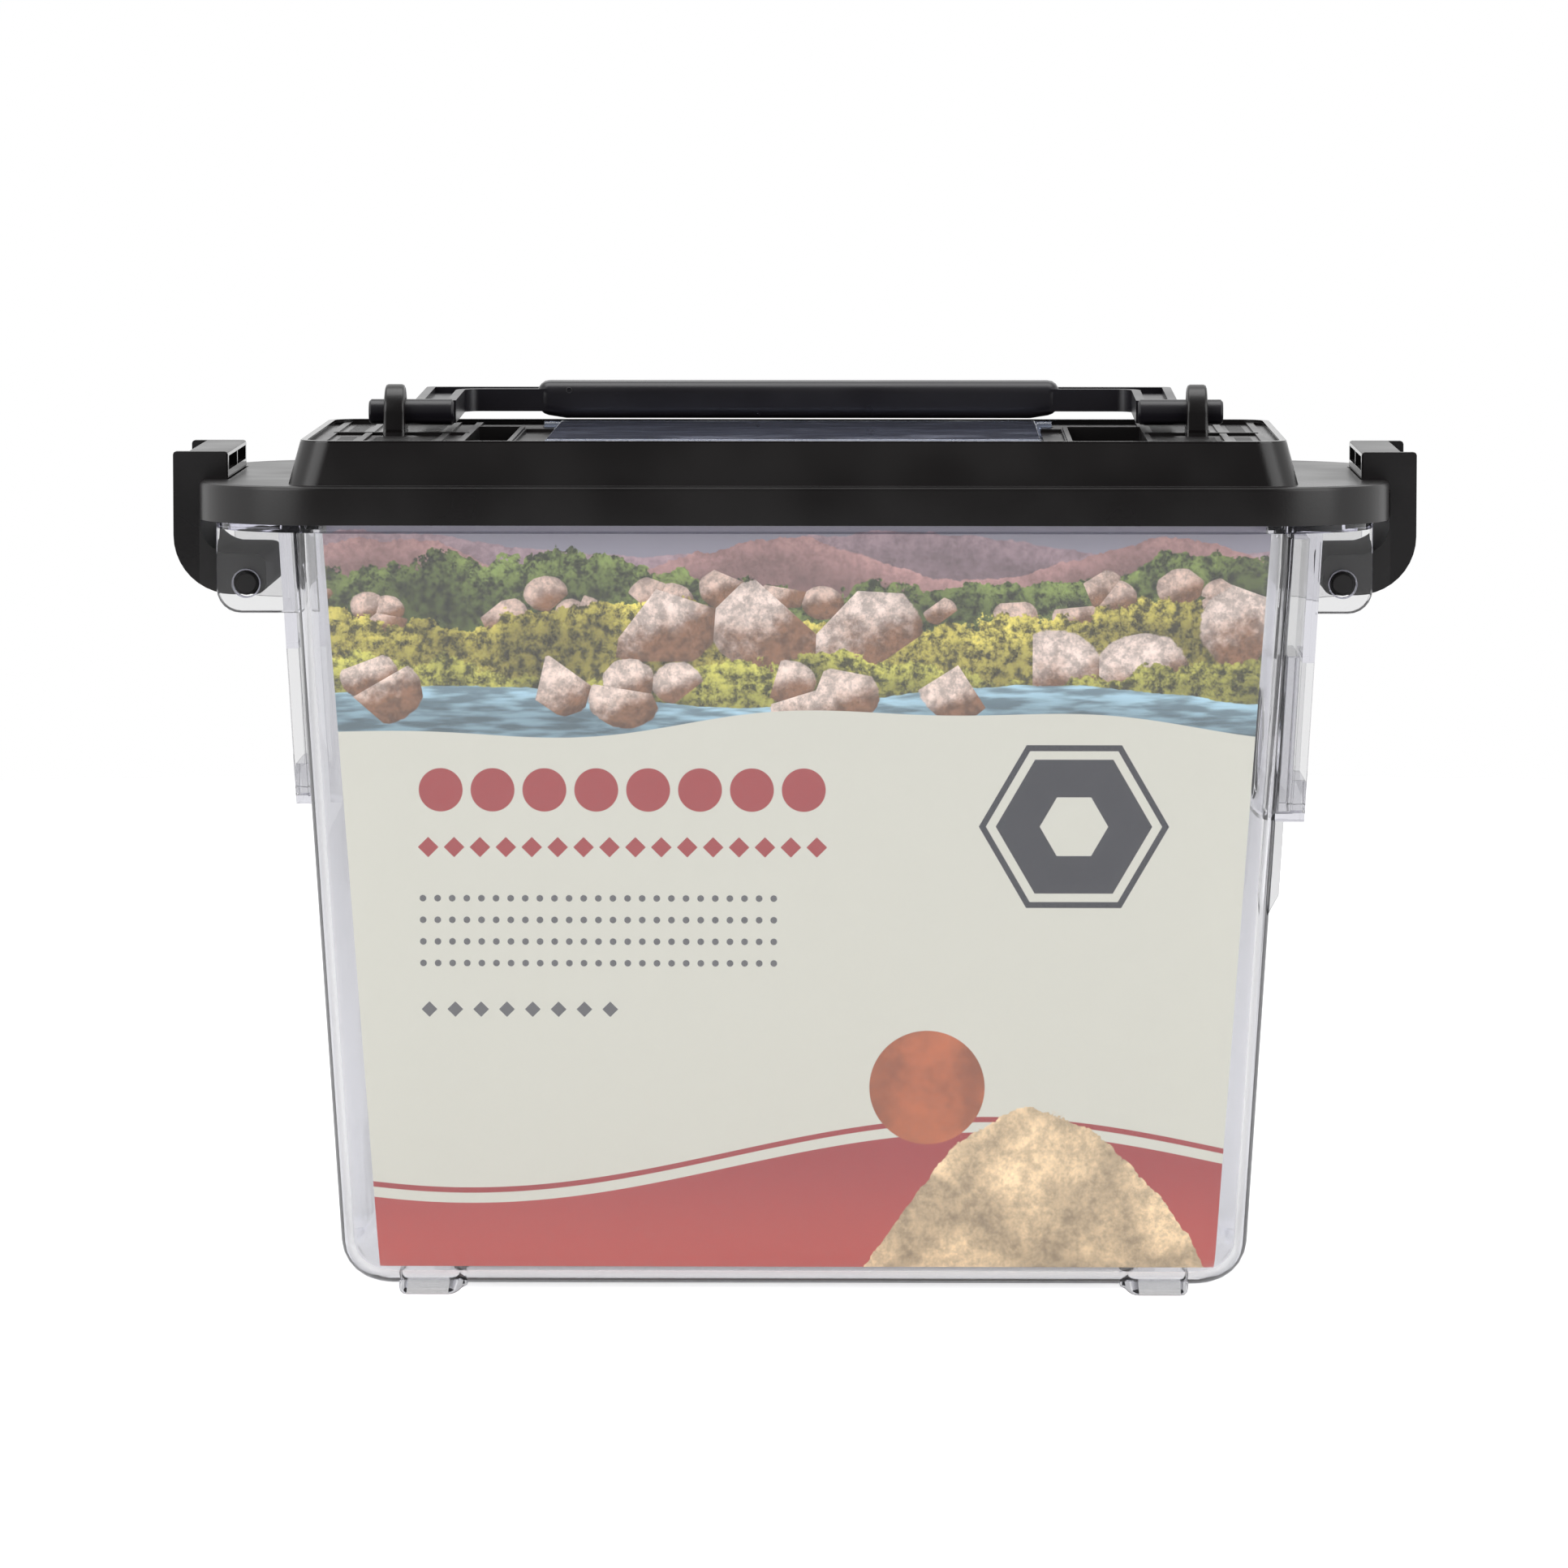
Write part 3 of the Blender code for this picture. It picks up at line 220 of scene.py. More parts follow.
def makeFloor(setup):
    deselectAll()
    bpy.ops.mesh.primitive_circle_add(vertices=setup["floorSides"], radius=setup["floorRadius"],
                                      fill_type="NGON")
    floor = bpy.context.object
    floor.name = "studioFloor"
    material, tree, shader = newMaterial("studioFloor", Roughness=setup["floorRough"],
                                         Base_Color=setup["floorColor"])
    path = addNode(tree, "ShaderNodeLightPath").outputs
    place = splitVector(tree, objectCoords(tree))
    # painted light under the box: the floor's shadow there is lifted for what the clear walls show and what
    # reflects
    under = 1.0
    for axis, half in zip("XY", setup["underSize"]):
        along = calc(tree, "ABSOLUTE", place[axis])
        inside = remap(tree, along, half - setup["underSoft"], half, 1.0, 0.0)
        under = calc(tree, "MULTIPLY", under, inside)
    clear = calc(tree, "MULTIPLY_ADD", under, setup["floorUnderGlow"], setup["floorClear"])
    glint = remap(tree, place["Y"], *setup["glintTurn"], setup["floorGlint"], setup["floorGlintBack"])
    glint = calc(tree, "MULTIPLY_ADD", under, setup["floorUnderGlow"], glint)
    glow = calc(tree, "MULTIPLY", path["Is Camera Ray"], setup["floorGlow"])
    glow = calc(tree, "MULTIPLY_ADD", path["Is Transmission Ray"], clear, glow)
    glow = calc(tree, "MULTIPLY_ADD", path["Is Glossy Ray"], glint, glow)
    shader.inputs["Emission Color"].default_value = (1, 1, 1, 1)
    link(tree, glow, shader.inputs["Emission Strength"])
    floor.data.materials.append(material)


def makeWorld(setup):
    world = bpy.data.worlds.new("studioWorld")
    bpy.context.scene.world = world
    world.use_nodes = True
    tree = world.node_tree
    background = tree.nodes["Background"]
    background.inputs["Color"].default_value = (1, 1, 1, 1)
    direction = splitVector(tree, addNode(tree, "ShaderNodeTexCoord").outputs["Generated"])
    path = addNode(tree, "ShaderNodeLightPath").outputs
    strength = setup["worldFill"]
    for flag, front in (("Is Glossy Ray", "frontGloss"), ("Is Transmission Ray", "frontClear")):
        around = remap(tree, direction["Y"], *setup["worldTurn"], setup[front], setup["worldBack"])
        strength = mixValue(tree, path[flag], strength, around)
    strength = calc(tree, "MAXIMUM", strength, path["Is Camera Ray"])
    link(tree, strength, background.inputs["Strength"])


def makeLamps(table, target):
    for name, lamp in table.items():
        deselectAll()
        bpy.ops.object.light_add(type="AREA", location=lamp["place"])
        light = bpy.context.object
        light.name = name
        light.data.shape = "RECTANGLE"
        light.data.size, light.data.size_y = lamp["size"]
        light.data.energy = lamp["power"]
        aim = Vector(target) - Vector(lamp["place"])
        light.rotation_euler = aim.to_track_quat("-Z", "Y").to_euler()


makeFloor(studio)
makeWorld(studio)
makeLamps(lamps, lampAim)
print("studio ready")


# Finishes

grainLook = {
    "fineDetail": 3.0,
    "fineRoughness": 0.6,
    "driftScale": 45.0,
    "roughSpan": (0.3, 0.7),      # of the drift, from low to high roughness
    "toneSpan": (0.35, 0.65),     # and from the dark to the light tone
}


def makeGrainGroup(look):
    # moulded texture: fine grain height, slow roughness drift and faint tone drift
    group, entry, leave = newGroup("mouldedGrain", ("Grain Scale", "Rough Low", "Rough High"),
                                   ("Height", "Rough", "Tone"))
    coords = objectCoords(group)
    grain = noise(group, coords, entry.outputs["Grain Scale"], look["fineDetail"], look["fineRoughness"])
    drift = noise(group, coords, look["driftScale"])
    ends = entry.outputs["Rough Low"], entry.outputs["Rough High"]
    link(group, grain, leave.inputs["Height"])
    link(group, remap(group, drift, *look["roughSpan"], *ends), leave.inputs["Rough"])
    link(group, remap(group, drift, *look["toneSpan"]), leave.inputs["Tone"])
    return group


mouldedGrain = makeGrainGroup(grainLook)

blackFinish = {
    "dark": (0.0044, 0.0036, 0.0040),
    "light": (0.0068, 0.0057, 0.0062),
    "specular": 0.50,
    "roughLow": 0.27,
    "roughHigh": 0.35,
    "grainScale": 2600.0,
    "grainDepth": 0.00004,
    "bump": 0.25,
}


def makeMouldedPlastic(name, finish, zones=()):
    # a zone is where the bands along its axes meet, with a roughness of its own
    material, tree, shader = newMaterial(name, Specular_IOR_Level=finish["specular"])
    grain = useGroup(tree, mouldedGrain, Grain_Scale=finish["grainScale"], Rough_Low=finish["roughLow"],
                     Rough_High=finish["roughHigh"]).outputs
    tone = blendColor(tree, grain["Tone"], finish["dark"], finish["light"])
    link(tree, tone, shader.inputs["Base Color"])
    rough = grain["Rough"]
    for zone in zones:
        place = splitVector(tree, objectCoords(tree))
        inside = 1.0
        for axis, low, high in zone["bands"]:
            along = calc(tree, "ABSOLUTE", place[axis])
            inside = calc(tree, "MULTIPLY", inside, between(tree, along, low, high))
        rough = mixValue(tree, inside, rough, zone["rough"])
    link(tree, rough, shader.inputs["Roughness"])
    addBump(tree, shader, grain["Height"], finish["bump"], finish["grainDepth"])
    return material


clearFinish = {
    "tint": (0.862, 0.862, 0.862),
    "edgeTint": (0.79, 0.79, 0.96),
    "clear": 0.983,               # the rest is a faint white veil
    "ior": 1.50,
    "rough": 0.015,
    "shadowPass": 0.95,           # share of the light that the thin walls let through
    "depth": 16.0,                # absorption along the walls
    "depthTint": (0.73, 0.72, 0.86),
    "wave": 0.00006,
    "waveScale": 70.0,
    "bump": 0.5,
    "edgeFrom": 0.4,              # how far a wall is turned away where the edge tint sets in
    "rimLine": (0.12635, 0.12675),    # heights of the rim plate's lower edge, seen as a thin line
    "lineTint": (0.42, 0.42, 0.46),
}


def makeClearPlastic(name, finish):
    material, tree, shader = newMaterial(name, Roughness=finish["rough"], IOR=finish["ior"],
                                         Transmission_Weight=finish["clear"])
    facing = addNode(tree, "ShaderNodeLayerWeight").outputs["Facing"]
    tone = blendColor(tree, remap(tree, facing, finish["edgeFrom"], 1.0), finish["tint"], finish["edgeTint"])
    height = splitVector(tree, objectCoords(tree))["Z"]
    line = between(tree, height, *finish["rimLine"])
    link(tree, blendColor(tree, line, tone, finish["lineTint"]), shader.inputs["Base Color"])
    path = addNode(tree, "ShaderNodeLightPath").outputs
    soft = calc(tree, "MAXIMUM", path["Is Shadow Ray"], path["Is Diffuse Ray"])
    link(tree, calc(tree, "MULTIPLY_ADD", soft, -finish["shadowPass"], 1.0), shader.inputs["Alpha"])
    wave = noise(tree, objectCoords(tree), finish["waveScale"], detail=1.0)
    addBump(tree, shader, wave, finish["bump"], finish["wave"])
    if finish["depth"] > 0:
        depth = addNode(tree, "ShaderNodeVolumeAbsorption")
        depth.inputs["Color"].default_value = (*finish["depthTint"], 1.0)
        depth.inputs["Density"].default_value = finish["depth"]
        link(tree, depth.outputs[0], tree.nodes["Material Output"].inputs["Volume"])
    return material


doorFinish = dict(clearFinish, tint=(0.66, 0.74, 0.95), clear=0.93, rough=0.03, wave=0.00022, depth=0.0)
lidFinish = dict(blackFinish, dark=(0.0036, 0.0026, 0.0027), light=(0.0056, 0.0044, 0.0045))
gripFinish = dict(blackFinish, dark=(0.0068, 0.0058, 0.0088), light=(0.0092, 0.0080, 0.0115))
tubeFinish = {
    "dark": (0.006, 0.006, 0.007),
    "light": (0.016, 0.016, 0.017),
    "specular": 0.4,
    "roughLow": 0.6,
    "roughHigh": 0.8,
    "grainScale": 900.0,
    "grainDepth": 0.00025,
    "bump": 0.7,
}
deckRimZone = {"bands": (("Z", 0.1411, 0.1416),), "rough": 0.14}
hookLipZone = {"bands": (("X", 0.0930, 0.0937), ("Z", 0.1346, 0.1384)), "rough": 0.12}
throatZone = {"bands": (("X", 0.0860, 0.0982), ("Z", 0.1100, 0.1320)), "rough": 0.62}

lidPlastic = makeMouldedPlastic("lidPlastic", lidFinish, (deckRimZone,))
gripPlastic = makeMouldedPlastic("gripPlastic", gripFinish)
latchPlastic = makeMouldedPlastic("latchPlastic", blackFinish, (hookLipZone, throatZone))
tubePlastic = makeMouldedPlastic("tubePlastic", tubeFinish)
clearPlastic = makeClearPlastic("clearPlastic", clearFinish)
clearDoor = makeClearPlastic("clearDoorPlastic", doorFinish)
print("finishes ready")


# Printed card: plain generic pattern of its own, colours by place on the card in millimetres

cardPrint = {
    "rough": 0.42,
    "specular": 0.35,
    "edge": 0.08,                 # half the width of a printed edge
    "cream": (0.800, 0.795, 0.695),
    "red": (0.43, 0.045, 0.050),
    "redLow": (0.60, 0.085, 0.070),
    "redFade": (5.0, 26.0),       # heights between the two reds
    "sun": (0.50, 0.130, 0.045),
    "sunPlace": (22.0, 34.5),
    "sunSize": 9.5,
    "dune": (0.74, 0.55, 0.33),
    "dunePlace": (40.0, 30.0),    # crest across the card and its height
    "duneSpan": 30.0,
    "duneRagged": 4.0,
    "duneStones": 42.0,           # to a metre
    "ink": (0.022, 0.023, 0.036),
    "grey": (0.13, 0.13, 0.14),
    "sky": (0.40, 0.38, 0.47),
    "stoneShade": (0.27, 0.130, 0.070),
    "bandFrom": 95.0,
    "bandWaves": ((2.2, 150.0, 0.7), (0.8, 57.0, 2.0)),    # size, pitch and shift
    "waveTop": 21.0,
    "redWave": (6.0, 170.0, 0.4),
    "thinLine": (1.7, 2.6),       # over the red wave
    "hexPlace": (46.0, 78.0),
    "hexSize": 13.5,
    "hexLine": (1.0, 2.4),        # in from the cell's edge
    "hexHeart": 0.36,             # share of the cell's size
    "backWhite": (0.80, 0.80, 0.79),
    "frontTurn": (-0.6, -0.5),    # direction along Y between the front and the rest
}

noises = {
    "ragged": {"scale": 95.0, "detail": 8.0, "roughness": 0.68},
    "fine": {"scale": 520.0, "detail": 5.0, "roughness": 0.75},
    "patch": {"scale": 60.0, "detail": 2.0},
    "streaks": {"scale": 900.0, "detail": 2.0},
}

streakStretch = (0.16, 1.0, 1.0)

spreads = {    # a range of values and the shades that it becomes
    "hazeFine": (0.32, 0.68, 0.75, 1.25),
    "hazeRagged": (0.3, 0.7, 0.80, 1.20),
    "leafFine": (0.38, 0.62, 0.15, 1.95),
    "leafPatch": (0.35, 0.65, 0.65, 1.45),
    "water": (0.35, 0.65, 0.60, 1.60),
    "layerDepth": (0.0, 5.0, 1.25, 0.65),
    "boulderFine": (0.36, 0.64, 0.62, 1.35),
    "boulderRim": (0.70, 1.0, 1.0, 0.72),
    "boulderLight": (0.1, 0.9, 0.0, 1.0),
    "sunRagged": (0.3, 0.7, 0.65, 1.35),
    "rockRagged": (0.3, 0.7, 0.70, 1.30),
    "rockFine": (0.32, 0.68, 0.70, 1.25),
    "rockHeight": (-0.5, 0.5, 0.60, 1.35),
    "rockGap": (0.0, 0.16, 0.62, 1.0),
}

boulderLook = {
    "tall": 0.82,                 # height of a cell over its width
    "radius": (0.44, 0.70),       # in cells, from the smallest to the largest
    "ragged": 0.16,
    "soft": 0.015,
    "light": 0.52,
    "lightUp": 0.85,              # more towards the top
    "lightLeft": 0.35,            # and towards the left
    "lightRagged": 2.4,
}

scenery = (    # from the back: layers of hills and rows of boulders, sizes in millimetres
    {"kind": "haze", "crest": 124.5, "size": 2.0, "pitch": 90.0, "shift": 0.3, "ragged": 2.0,
     "tone": (0.42, 0.29, 0.33)},
    {"kind": "haze", "crest": 122.0, "size": 3.4, "pitch": 64.0, "shift": 1.9, "ragged": 3.0,
     "tone": (0.46, 0.26, 0.25)},
    {"kind": "leaf", "crest": 119.5, "size": 2.6, "pitch": 118.0, "shift": 3.9, "ragged": 8.0,
     "tone": (0.105, 0.140, 0.035)},
    {"kind": "boulder", "low": 112.0, "high": 117.5, "cell": 6.0, "share": 0.85, "shift": 3.3,
     "tone": (0.84, 0.62, 0.52)},
    {"kind": "leaf", "crest": 113.0, "size": 2.0, "pitch": 83.0, "shift": 2.7, "ragged": 8.0,
     "tone": (0.36, 0.31, 0.060)},
    {"kind": "boulder", "low": 104.0, "high": 113.0, "cell": 15.5, "share": 0.80, "shift": 7.7,
     "tone": (0.97, 0.79, 0.70)},
    {"kind": "leaf", "crest": 103.5, "size": 2.4, "pitch": 71.0, "shift": 1.2, "ragged": 7.0,
     "tone": (0.27, 0.26, 0.050)},
    {"kind": "water", "crest": 99.5, "size": 1.8, "pitch": 96.0, "shift": 5.2, "ragged": 1.0,
     "tone": (0.27, 0.42, 0.50)},
    {"kind": "boulder", "low": 97.0, "high": 103.5, "cell": 9.5, "share": 0.62, "shift": 1.4,
     "tone": (0.96, 0.77, 0.67)},
)

markRows = (    # shape and colour, left and right end, pitch and radius in millimetres, and the rows' heights
    ("dot", "red", (-62.0, 6.0), 8.5, 3.6, (84.0,)),
    ("lozenge", "red", (-62.0, 6.0), 4.25, 1.7, (74.5,)),
    ("dot", "grey", (-62.0, -2.0), 2.4, 0.55, (66.0, 62.4, 58.8, 55.2)),
    ("lozenge", "grey", (-62.0, -28.0), 4.25, 1.3, (47.5,)),
)

rowEndSoft = 0.01
millimetres = 1000.0    # to a metre


def makeCardPrint(design, stone):
    material, tree, shader = newMaterial("cardPrint", Roughness=design["rough"],
                                         Specular_IOR_Level=design["specular"])
    coords = objectCoords(tree)
    place = splitVector(tree, coords)
    across = calc(tree, "MULTIPLY", place["X"], millimetres)
    up = calc(tree, "MULTIPLY", place["Z"], millimetres)
    longWays = addNode(tree, "ShaderNodeMapping")
    longWays.inputs["Scale"].default_value = streakStretch
    link(tree, coords, longWays.inputs["Vector"])
    grains = {name: noise(tree, longWays.outputs[0] if name == "streaks" else coords, **values)
              for name, values in noises.items()}
    swing = calc(tree, "MULTIPLY_ADD", grains["ragged"], 2.0, -1.0)

    def minus(first, second):
        return calc(tree, "SUBTRACT", first, second)

    def both(first, second):
        return calc(tree, "MULTIPLY", first, second)

    def below(value, limit, edge=design["edge"]):
        return remap(tree, minus(value, limit), -edge, edge, 1.0, 0.0)

    def above(value, limit, edge=design["edge"]):
        return minus(1.0, below(value, limit, edge))

    def length(first, second):
        return calc(tree, "SQRT", calc(tree, "ADD", both(first, first), both(second, second)))

    def wave(size, pitch, shift):
        angle = calc(tree, "MULTIPLY_ADD", across, math.tau / pitch, shift)
        return both(calc(tree, "SINE", angle), size)

    def spread(value, key):
        return remap(tree, value, *spreads[key])

    def shaded(tone, factor):
        toned = addNode(tree, "ShaderNodeVectorMath", operation="SCALE")
        toned.inputs[0].default_value = tone
        link(tree, factor, toned.inputs["Scale"])
        return toned.outputs[0]

    def fromCell(point, middle):
        # how far a point lies from the middle of its cell, by axis
        offset = addNode(tree, "ShaderNodeVectorMath", operation="SUBTRACT")
        link(tree, point, offset.inputs[0])
        link(tree, middle, offset.inputs[1])
        return splitVector(tree, offset.outputs[0])

    def boulders(row):
        # whole rounded cells of one row, lit from the upper left; gives their cover and their shade
        tall = row["cell"] * stone["tall"]
        plane = addNode(tree, "ShaderNodeCombineXYZ")
        link(tree, calc(tree, "MULTIPLY_ADD", across, 1.0 / row["cell"], row["shift"]), plane.inputs[0])
        link(tree, calc(tree, "DIVIDE", up, tall), plane.inputs[1])
        cells = addNode(tree, "ShaderNodeTexVoronoi", voronoi_dimensions="2D", feature="F1")
        cells.inputs["Scale"].default_value = 1.0
        link(tree, plane.outputs[0], cells.inputs["Vector"])
        away = fromCell(plane.outputs[0], cells.outputs["Position"])
        chance = addNode(tree, "ShaderNodeSeparateColor")
        link(tree, cells.outputs["Color"], chance.inputs[0])
        height = both(splitVector(tree, cells.outputs["Position"])["Y"], tall)
        chosen = both(between(tree, height, row["low"], row["high"]),
                      calc(tree, "LESS_THAN", chance.outputs[0], row["share"]))
        radius = remap(tree, chance.outputs[1], 0.0, 1.0, *stone["radius"], smooth=False)
        reach = calc(tree, "MULTIPLY_ADD", swing, stone["ragged"], cells.outputs["Distance"])
        light = stone["light"]
        for axis, share in (("Y", stone["lightUp"]), ("X", -stone["lightLeft"])):
            light = calc(tree, "MULTIPLY_ADD", calc(tree, "DIVIDE", away[axis], radius), share, light)
        light = calc(tree, "MULTIPLY_ADD", minus(grains["ragged"], 0.5), stone["lightRagged"], light)
        rim = spread(calc(tree, "DIVIDE", reach, radius), "boulderRim")
        grain = both(rim, spread(grains["fine"], "boulderFine"))
        tone = blendColor(tree, spread(light, "boulderLight"), shaded(design["stoneShade"], grain),
                          shaded(row["tone"], grain))
        return both(chosen, below(reach, radius, stone["soft"])), tone

    def hills(layer):
        # one layer with a ragged crest, darker towards its foot; gives its cover and its shade
        top = calc(tree, "MULTIPLY_ADD", swing, layer["ragged"], layer["crest"])
        top = calc(tree, "ADD", top, wave(layer["size"], layer["pitch"], layer["shift"]))
        shade = both(spread(minus(top, up), "layerDepth"), textures[layer["kind"]])
        return below(up, top), shaded(layer["tone"], shade)

    def stones(scale):
        # rounded cells, each lighter at its top and dark at its edge
        cells = addNode(tree, "ShaderNodeTexVoronoi", feature="F1")
        rims = addNode(tree, "ShaderNodeTexVoronoi", feature="DISTANCE_TO_EDGE")
        for node in (cells, rims):
            link(tree, coords, node.inputs["Vector"])
            node.inputs["Scale"].default_value = scale
        middle = addNode(tree, "ShaderNodeVectorMath", operation="SCALE")
        link(tree, cells.outputs["Position"], middle.inputs[0])
        middle.inputs["Scale"].default_value = 1.0 / scale
        height = both(fromCell(coords, middle.outputs[0])["Z"], scale)
        return both(spread(height, "rockHeight"), spread(rims.outputs["Distance"], "rockGap"))

    # band of layered hills along the top
    textures = {
        "haze": both(spread(grains["fine"], "hazeFine"), spread(grains["ragged"], "hazeRagged")),
        "leaf": both(spread(grains["fine"], "leafFine"), spread(grains["patch"], "leafPatch")),
        "water": spread(grains["streaks"], "water"),
    }
    band = design["sky"]
    for layer in scenery:
        cover, tone = boulders(layer) if layer["kind"] == "boulder" else hills(layer)
        band = blendColor(tree, cover, band, tone)
    lower = calc(tree, "ADD", *(wave(*values) for values in design["bandWaves"]))
    lower = calc(tree, "ADD", lower, design["bandFrom"])
    color = blendColor(tree, above(up, lower), design["cream"], band)

    # red wave along the foot, lighter towards the bottom, with a thin line above it
    crest = calc(tree, "ADD", wave(*design["redWave"]), design["waveTop"])
    redTone = blendColor(tree, remap(tree, up, *design["redFade"]), design["redLow"], design["red"])
    color = blendColor(tree, below(up, crest), color, redTone)
    lineFrom, lineTo = (calc(tree, "ADD", crest, height) for height in design["thinLine"])
    color = blendColor(tree, both(below(up, lineTo), above(up, lineFrom)), color, design["red"])

    # orange disc that stands behind a sandy mound, in front of the red wave
    toSun = length(*(minus(value, middle) for value, middle in zip((across, up), design["sunPlace"])))
    sunTone = shaded(design["sun"], spread(grains["ragged"], "sunRagged"))
    color = blendColor(tree, below(toSun, design["sunSize"]), color, sunTone)
    middle, height = design["dunePlace"]
    share = calc(tree, "DIVIDE", minus(across, middle), design["duneSpan"])
    dune = calc(tree, "MULTIPLY_ADD", both(share, share), -height, height)
    dune = calc(tree, "MULTIPLY_ADD", swing, design["duneRagged"], dune)
    rock = both(stones(design["duneStones"]), spread(grains["ragged"], "rockRagged"))
    rock = both(rock, spread(grains["fine"], "rockFine"))
    color = blendColor(tree, below(up, dune), color, shaded(design["dune"], rock))

    # dark six-sided cell with a pale line inside its edge and a pale heart
    hexX, hexZ = (calc(tree, "ABSOLUTE", minus(value, middle))
                  for value, middle in zip((across, up), design["hexPlace"]))
    turn = math.radians(30)
    slant = calc(tree, "MULTIPLY_ADD", hexX, math.cos(turn), both(hexZ, math.sin(turn)))
    hexSpan = calc(tree, "MAXIMUM", slant, hexZ)
    outer, inner = (design["hexSize"] - depth for depth in design["hexLine"])
    color = blendColor(tree, below(hexSpan, design["hexSize"]), color, design["ink"])
    color = blendColor(tree, both(below(hexSpan, outer), above(hexSpan, inner)), color, design["cream"])
    color = blendColor(tree, below(hexSpan, design["hexSize"] * design["hexHeart"]), color, design["cream"])

    # rows of dots and lozenges
    for shape, ink, (left, right), pitch, radius, heights in markRows:
        cell = minus(calc(tree, "FLOORED_MODULO", minus(across, left), pitch), pitch / 2)
        inside = both(below(across, right, rowEndSoft), above(across, left, rowEndSoft))
        for height in heights:
            rise = minus(up, height)
            if shape == "lozenge":
                span = calc(tree, "ADD", calc(tree, "ABSOLUTE", cell), calc(tree, "ABSOLUTE", rise))
            else:
                span = length(cell, rise)
            color = blendColor(tree, both(below(span, radius), inside), color, design[ink])

    facing = splitVector(tree, addNode(tree, "ShaderNodeTexCoord").outputs["Normal"])
    isFront = remap(tree, facing["Y"], *design["frontTurn"], 1.0, 0.0)
    link(tree, blendColor(tree, isFront, design["backWhite"], color), shader.inputs["Base Color"])
    return material


cardMaterial = makeCardPrint(cardPrint, boulderLook)
print("card print ready")


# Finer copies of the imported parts: merged, with small rounded edges and smooth shading

copyLook = {
    "merge": 0.00001,
    "flat": 0.4,          # degrees, like the two below
    "bevelFrom": 40.0,
    "smoothTo": 35.0,
    "bevelSegments": 2,
}


def finerCopy(nodeName, pieceName, material, body, edge, look):
    deselectAll()
    piece = bpy.data.objects.new(pieceName, nodes[nodeName].data.copy())
    bpy.context.scene.collection.objects.link(piece)
    piece.data.materials.clear()
    piece.data.materials.append(material)
    bpy.context.view_layer.objects.active = piece
    piece.select_set(True)
    bpy.ops.object.mode_set(mode="EDIT")
    bpy.ops.mesh.select_all(action="SELECT")
    bpy.ops.mesh.remove_doubles(threshold=look["merge"])
    bpy.ops.mesh.customdata_custom_splitnormals_clear()
    bpy.ops.mesh.dissolve_limited(angle_limit=math.radians(look["flat"]))
    bpy.ops.object.mode_set(mode="OBJECT")
    if edge > 0:
        bevel = piece.modifiers.new("edges", "BEVEL")
        bevel.width = edge
        bevel.segments = look["bevelSegments"]
        bevel.limit_method = "ANGLE"
        bevel.angle_limit = math.radians(look["bevelFrom"])
        bevel.harden_normals = False
        bpy.ops.object.modifier_apply(modifier="edges")
    bpy.ops.object.shade_smooth_by_angle(angle=math.radians(look["smoothTo"]))
    weighted = piece.modifiers.new("faces", "WEIGHTED_NORMAL")
    weighted.keep_sharp = True
    bpy.ops.object.modifier_apply(modifier="faces")
    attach(piece, body)
    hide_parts(nodeName)


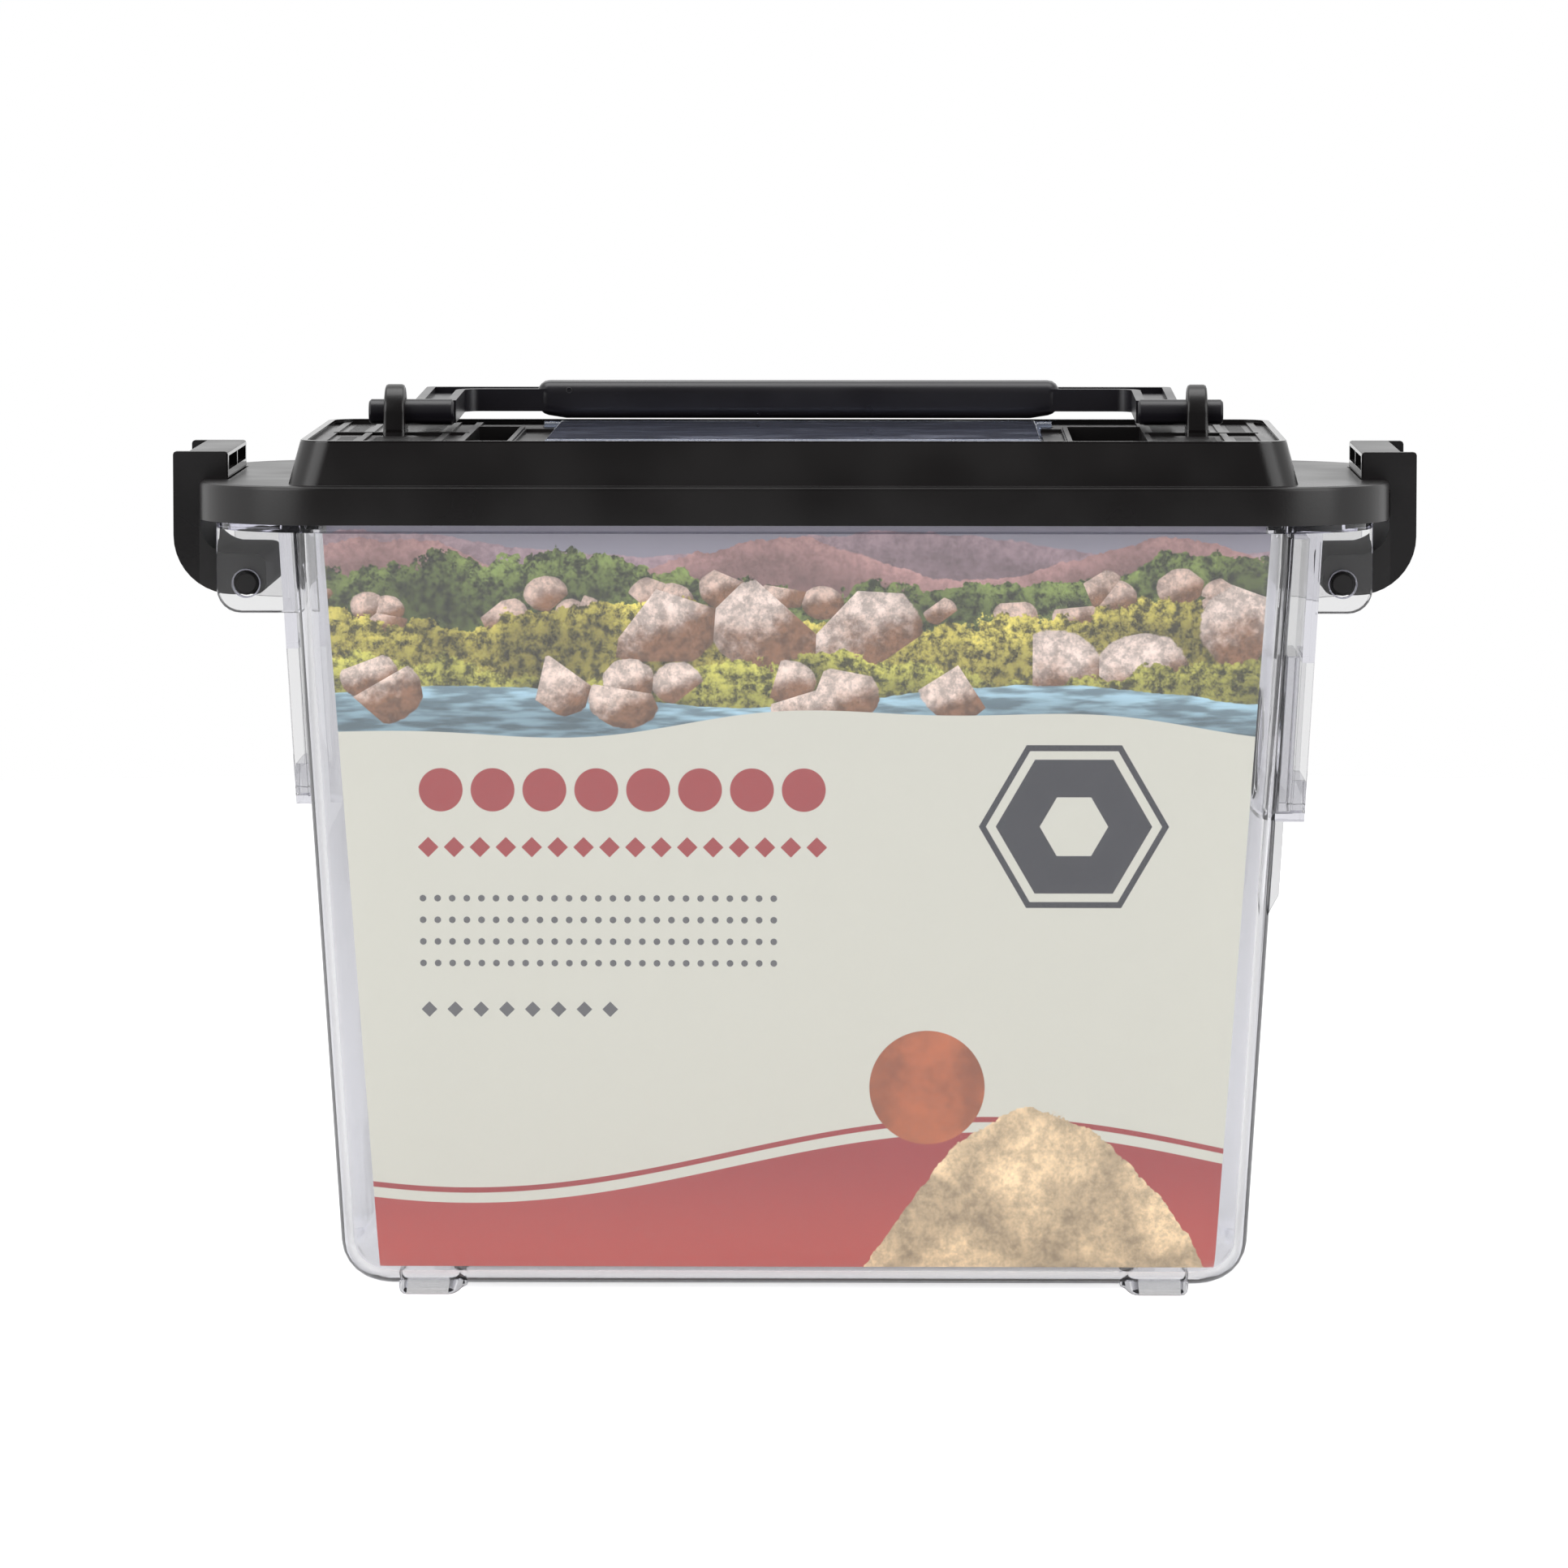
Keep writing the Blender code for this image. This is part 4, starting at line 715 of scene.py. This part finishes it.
copies = (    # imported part, piece, material, body, rounding of the edges and slot
    ("tub", "clearTub", clearPlastic, "housing", 0.00025, "clear_plastic"),
    ("lid", "blackLid", lidPlastic, "housing", 0.00030, "black_plastic"),
    ("label_card", "printedCard", cardMaterial, "housing", 0.0, "printed_card"),
    ("hiding_tube_front", "darkTubeFront", tubePlastic, "housing", 0.0, "tube_plastic"),
    ("hiding_tube_back", "darkTubeBack", tubePlastic, "housing", 0.0, "tube_plastic"),
    ("trapdoor", "clearTrapdoor", clearDoor, "door", 0.00020, "smoked_clear_plastic"),
    ("carry_handle", "foldingHandle", gripPlastic, "handle", 0.00025, "black_plastic"),
    ("latch_left", "leftLatch", latchPlastic, "latch_left", 0.00025, "black_plastic"),
    ("latch_right", "rightLatch", latchPlastic, "latch_right", 0.00025, "black_plastic"),
    ("port_gate_left", "leftGate", clearPlastic, "gate_left", 0.00020, "clear_plastic"),
    ("port_gate_right", "rightGate", clearPlastic, "gate_right", 0.00020, "clear_plastic"),
)

for nodeName, pieceName, material, body, edge, slot in copies:
    finerCopy(nodeName, pieceName, material, body, edge, copyLook)
print("finer copies ready")


# Painted highlight rings round the pin holes of the lugs, standing in for the bright ring that each hole's
# clear wall shows, and the moulding mark on the grip

ring = {
    "pinPlace": (0.0903, 0.0226, 0.1171),
    "pinRadius": 0.0023,
    "pinThick": 0.00013,
    "markPlace": (-0.0391, 0.0309, 0.1466),
    "markRadius": 0.00045,
    "markThick": 0.00010,
    "segments": (40, 10),         # round the ring and round its wire
}

# painted highlight: pale lavender-grey, partly clear rings where the pin holes' walls show a bright ring of
# bent light
pinHighlightFinish = {"Base_Color": (0.62, 0.62, 0.70), "Roughness": 0.08, "IOR": 1.5, "Transmission_Weight": 0.8}


def addRing(name, place, radius, thick, material, body):
    # the ring faces the front or the back, and its mesh keeps its place in the world
    deselectAll()
    major, minor = ring["segments"]
    bpy.ops.mesh.primitive_torus_add(location=place, rotation=(math.pi / 2, 0, 0), major_segments=major,
                                     minor_segments=minor, major_radius=radius, minor_radius=thick)
    piece = bpy.context.object
    piece.name = name
    bpy.ops.object.transform_apply(location=True, rotation=True, scale=True)
    bpy.ops.object.shade_smooth()
    piece.data.materials.append(material)
    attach(piece, body)


pinHighlightPlastic = newMaterial("pinHighlightPlastic", **pinHighlightFinish)[0]
x, y, z = ring["pinPlace"]
for sideName, side in (("left", -1), ("right", 1)):
    for endName, end in (("Front", -1), ("Back", 1)):
        addRing(sideName + "PinHighlight" + endName, (side * x, end * y, z), ring["pinRadius"], ring["pinThick"],
                pinHighlightPlastic, "housing")
addRing("gripMark", ring["markPlace"], ring["markRadius"], ring["markThick"], gripPlastic, "handle")
print("rims ready")
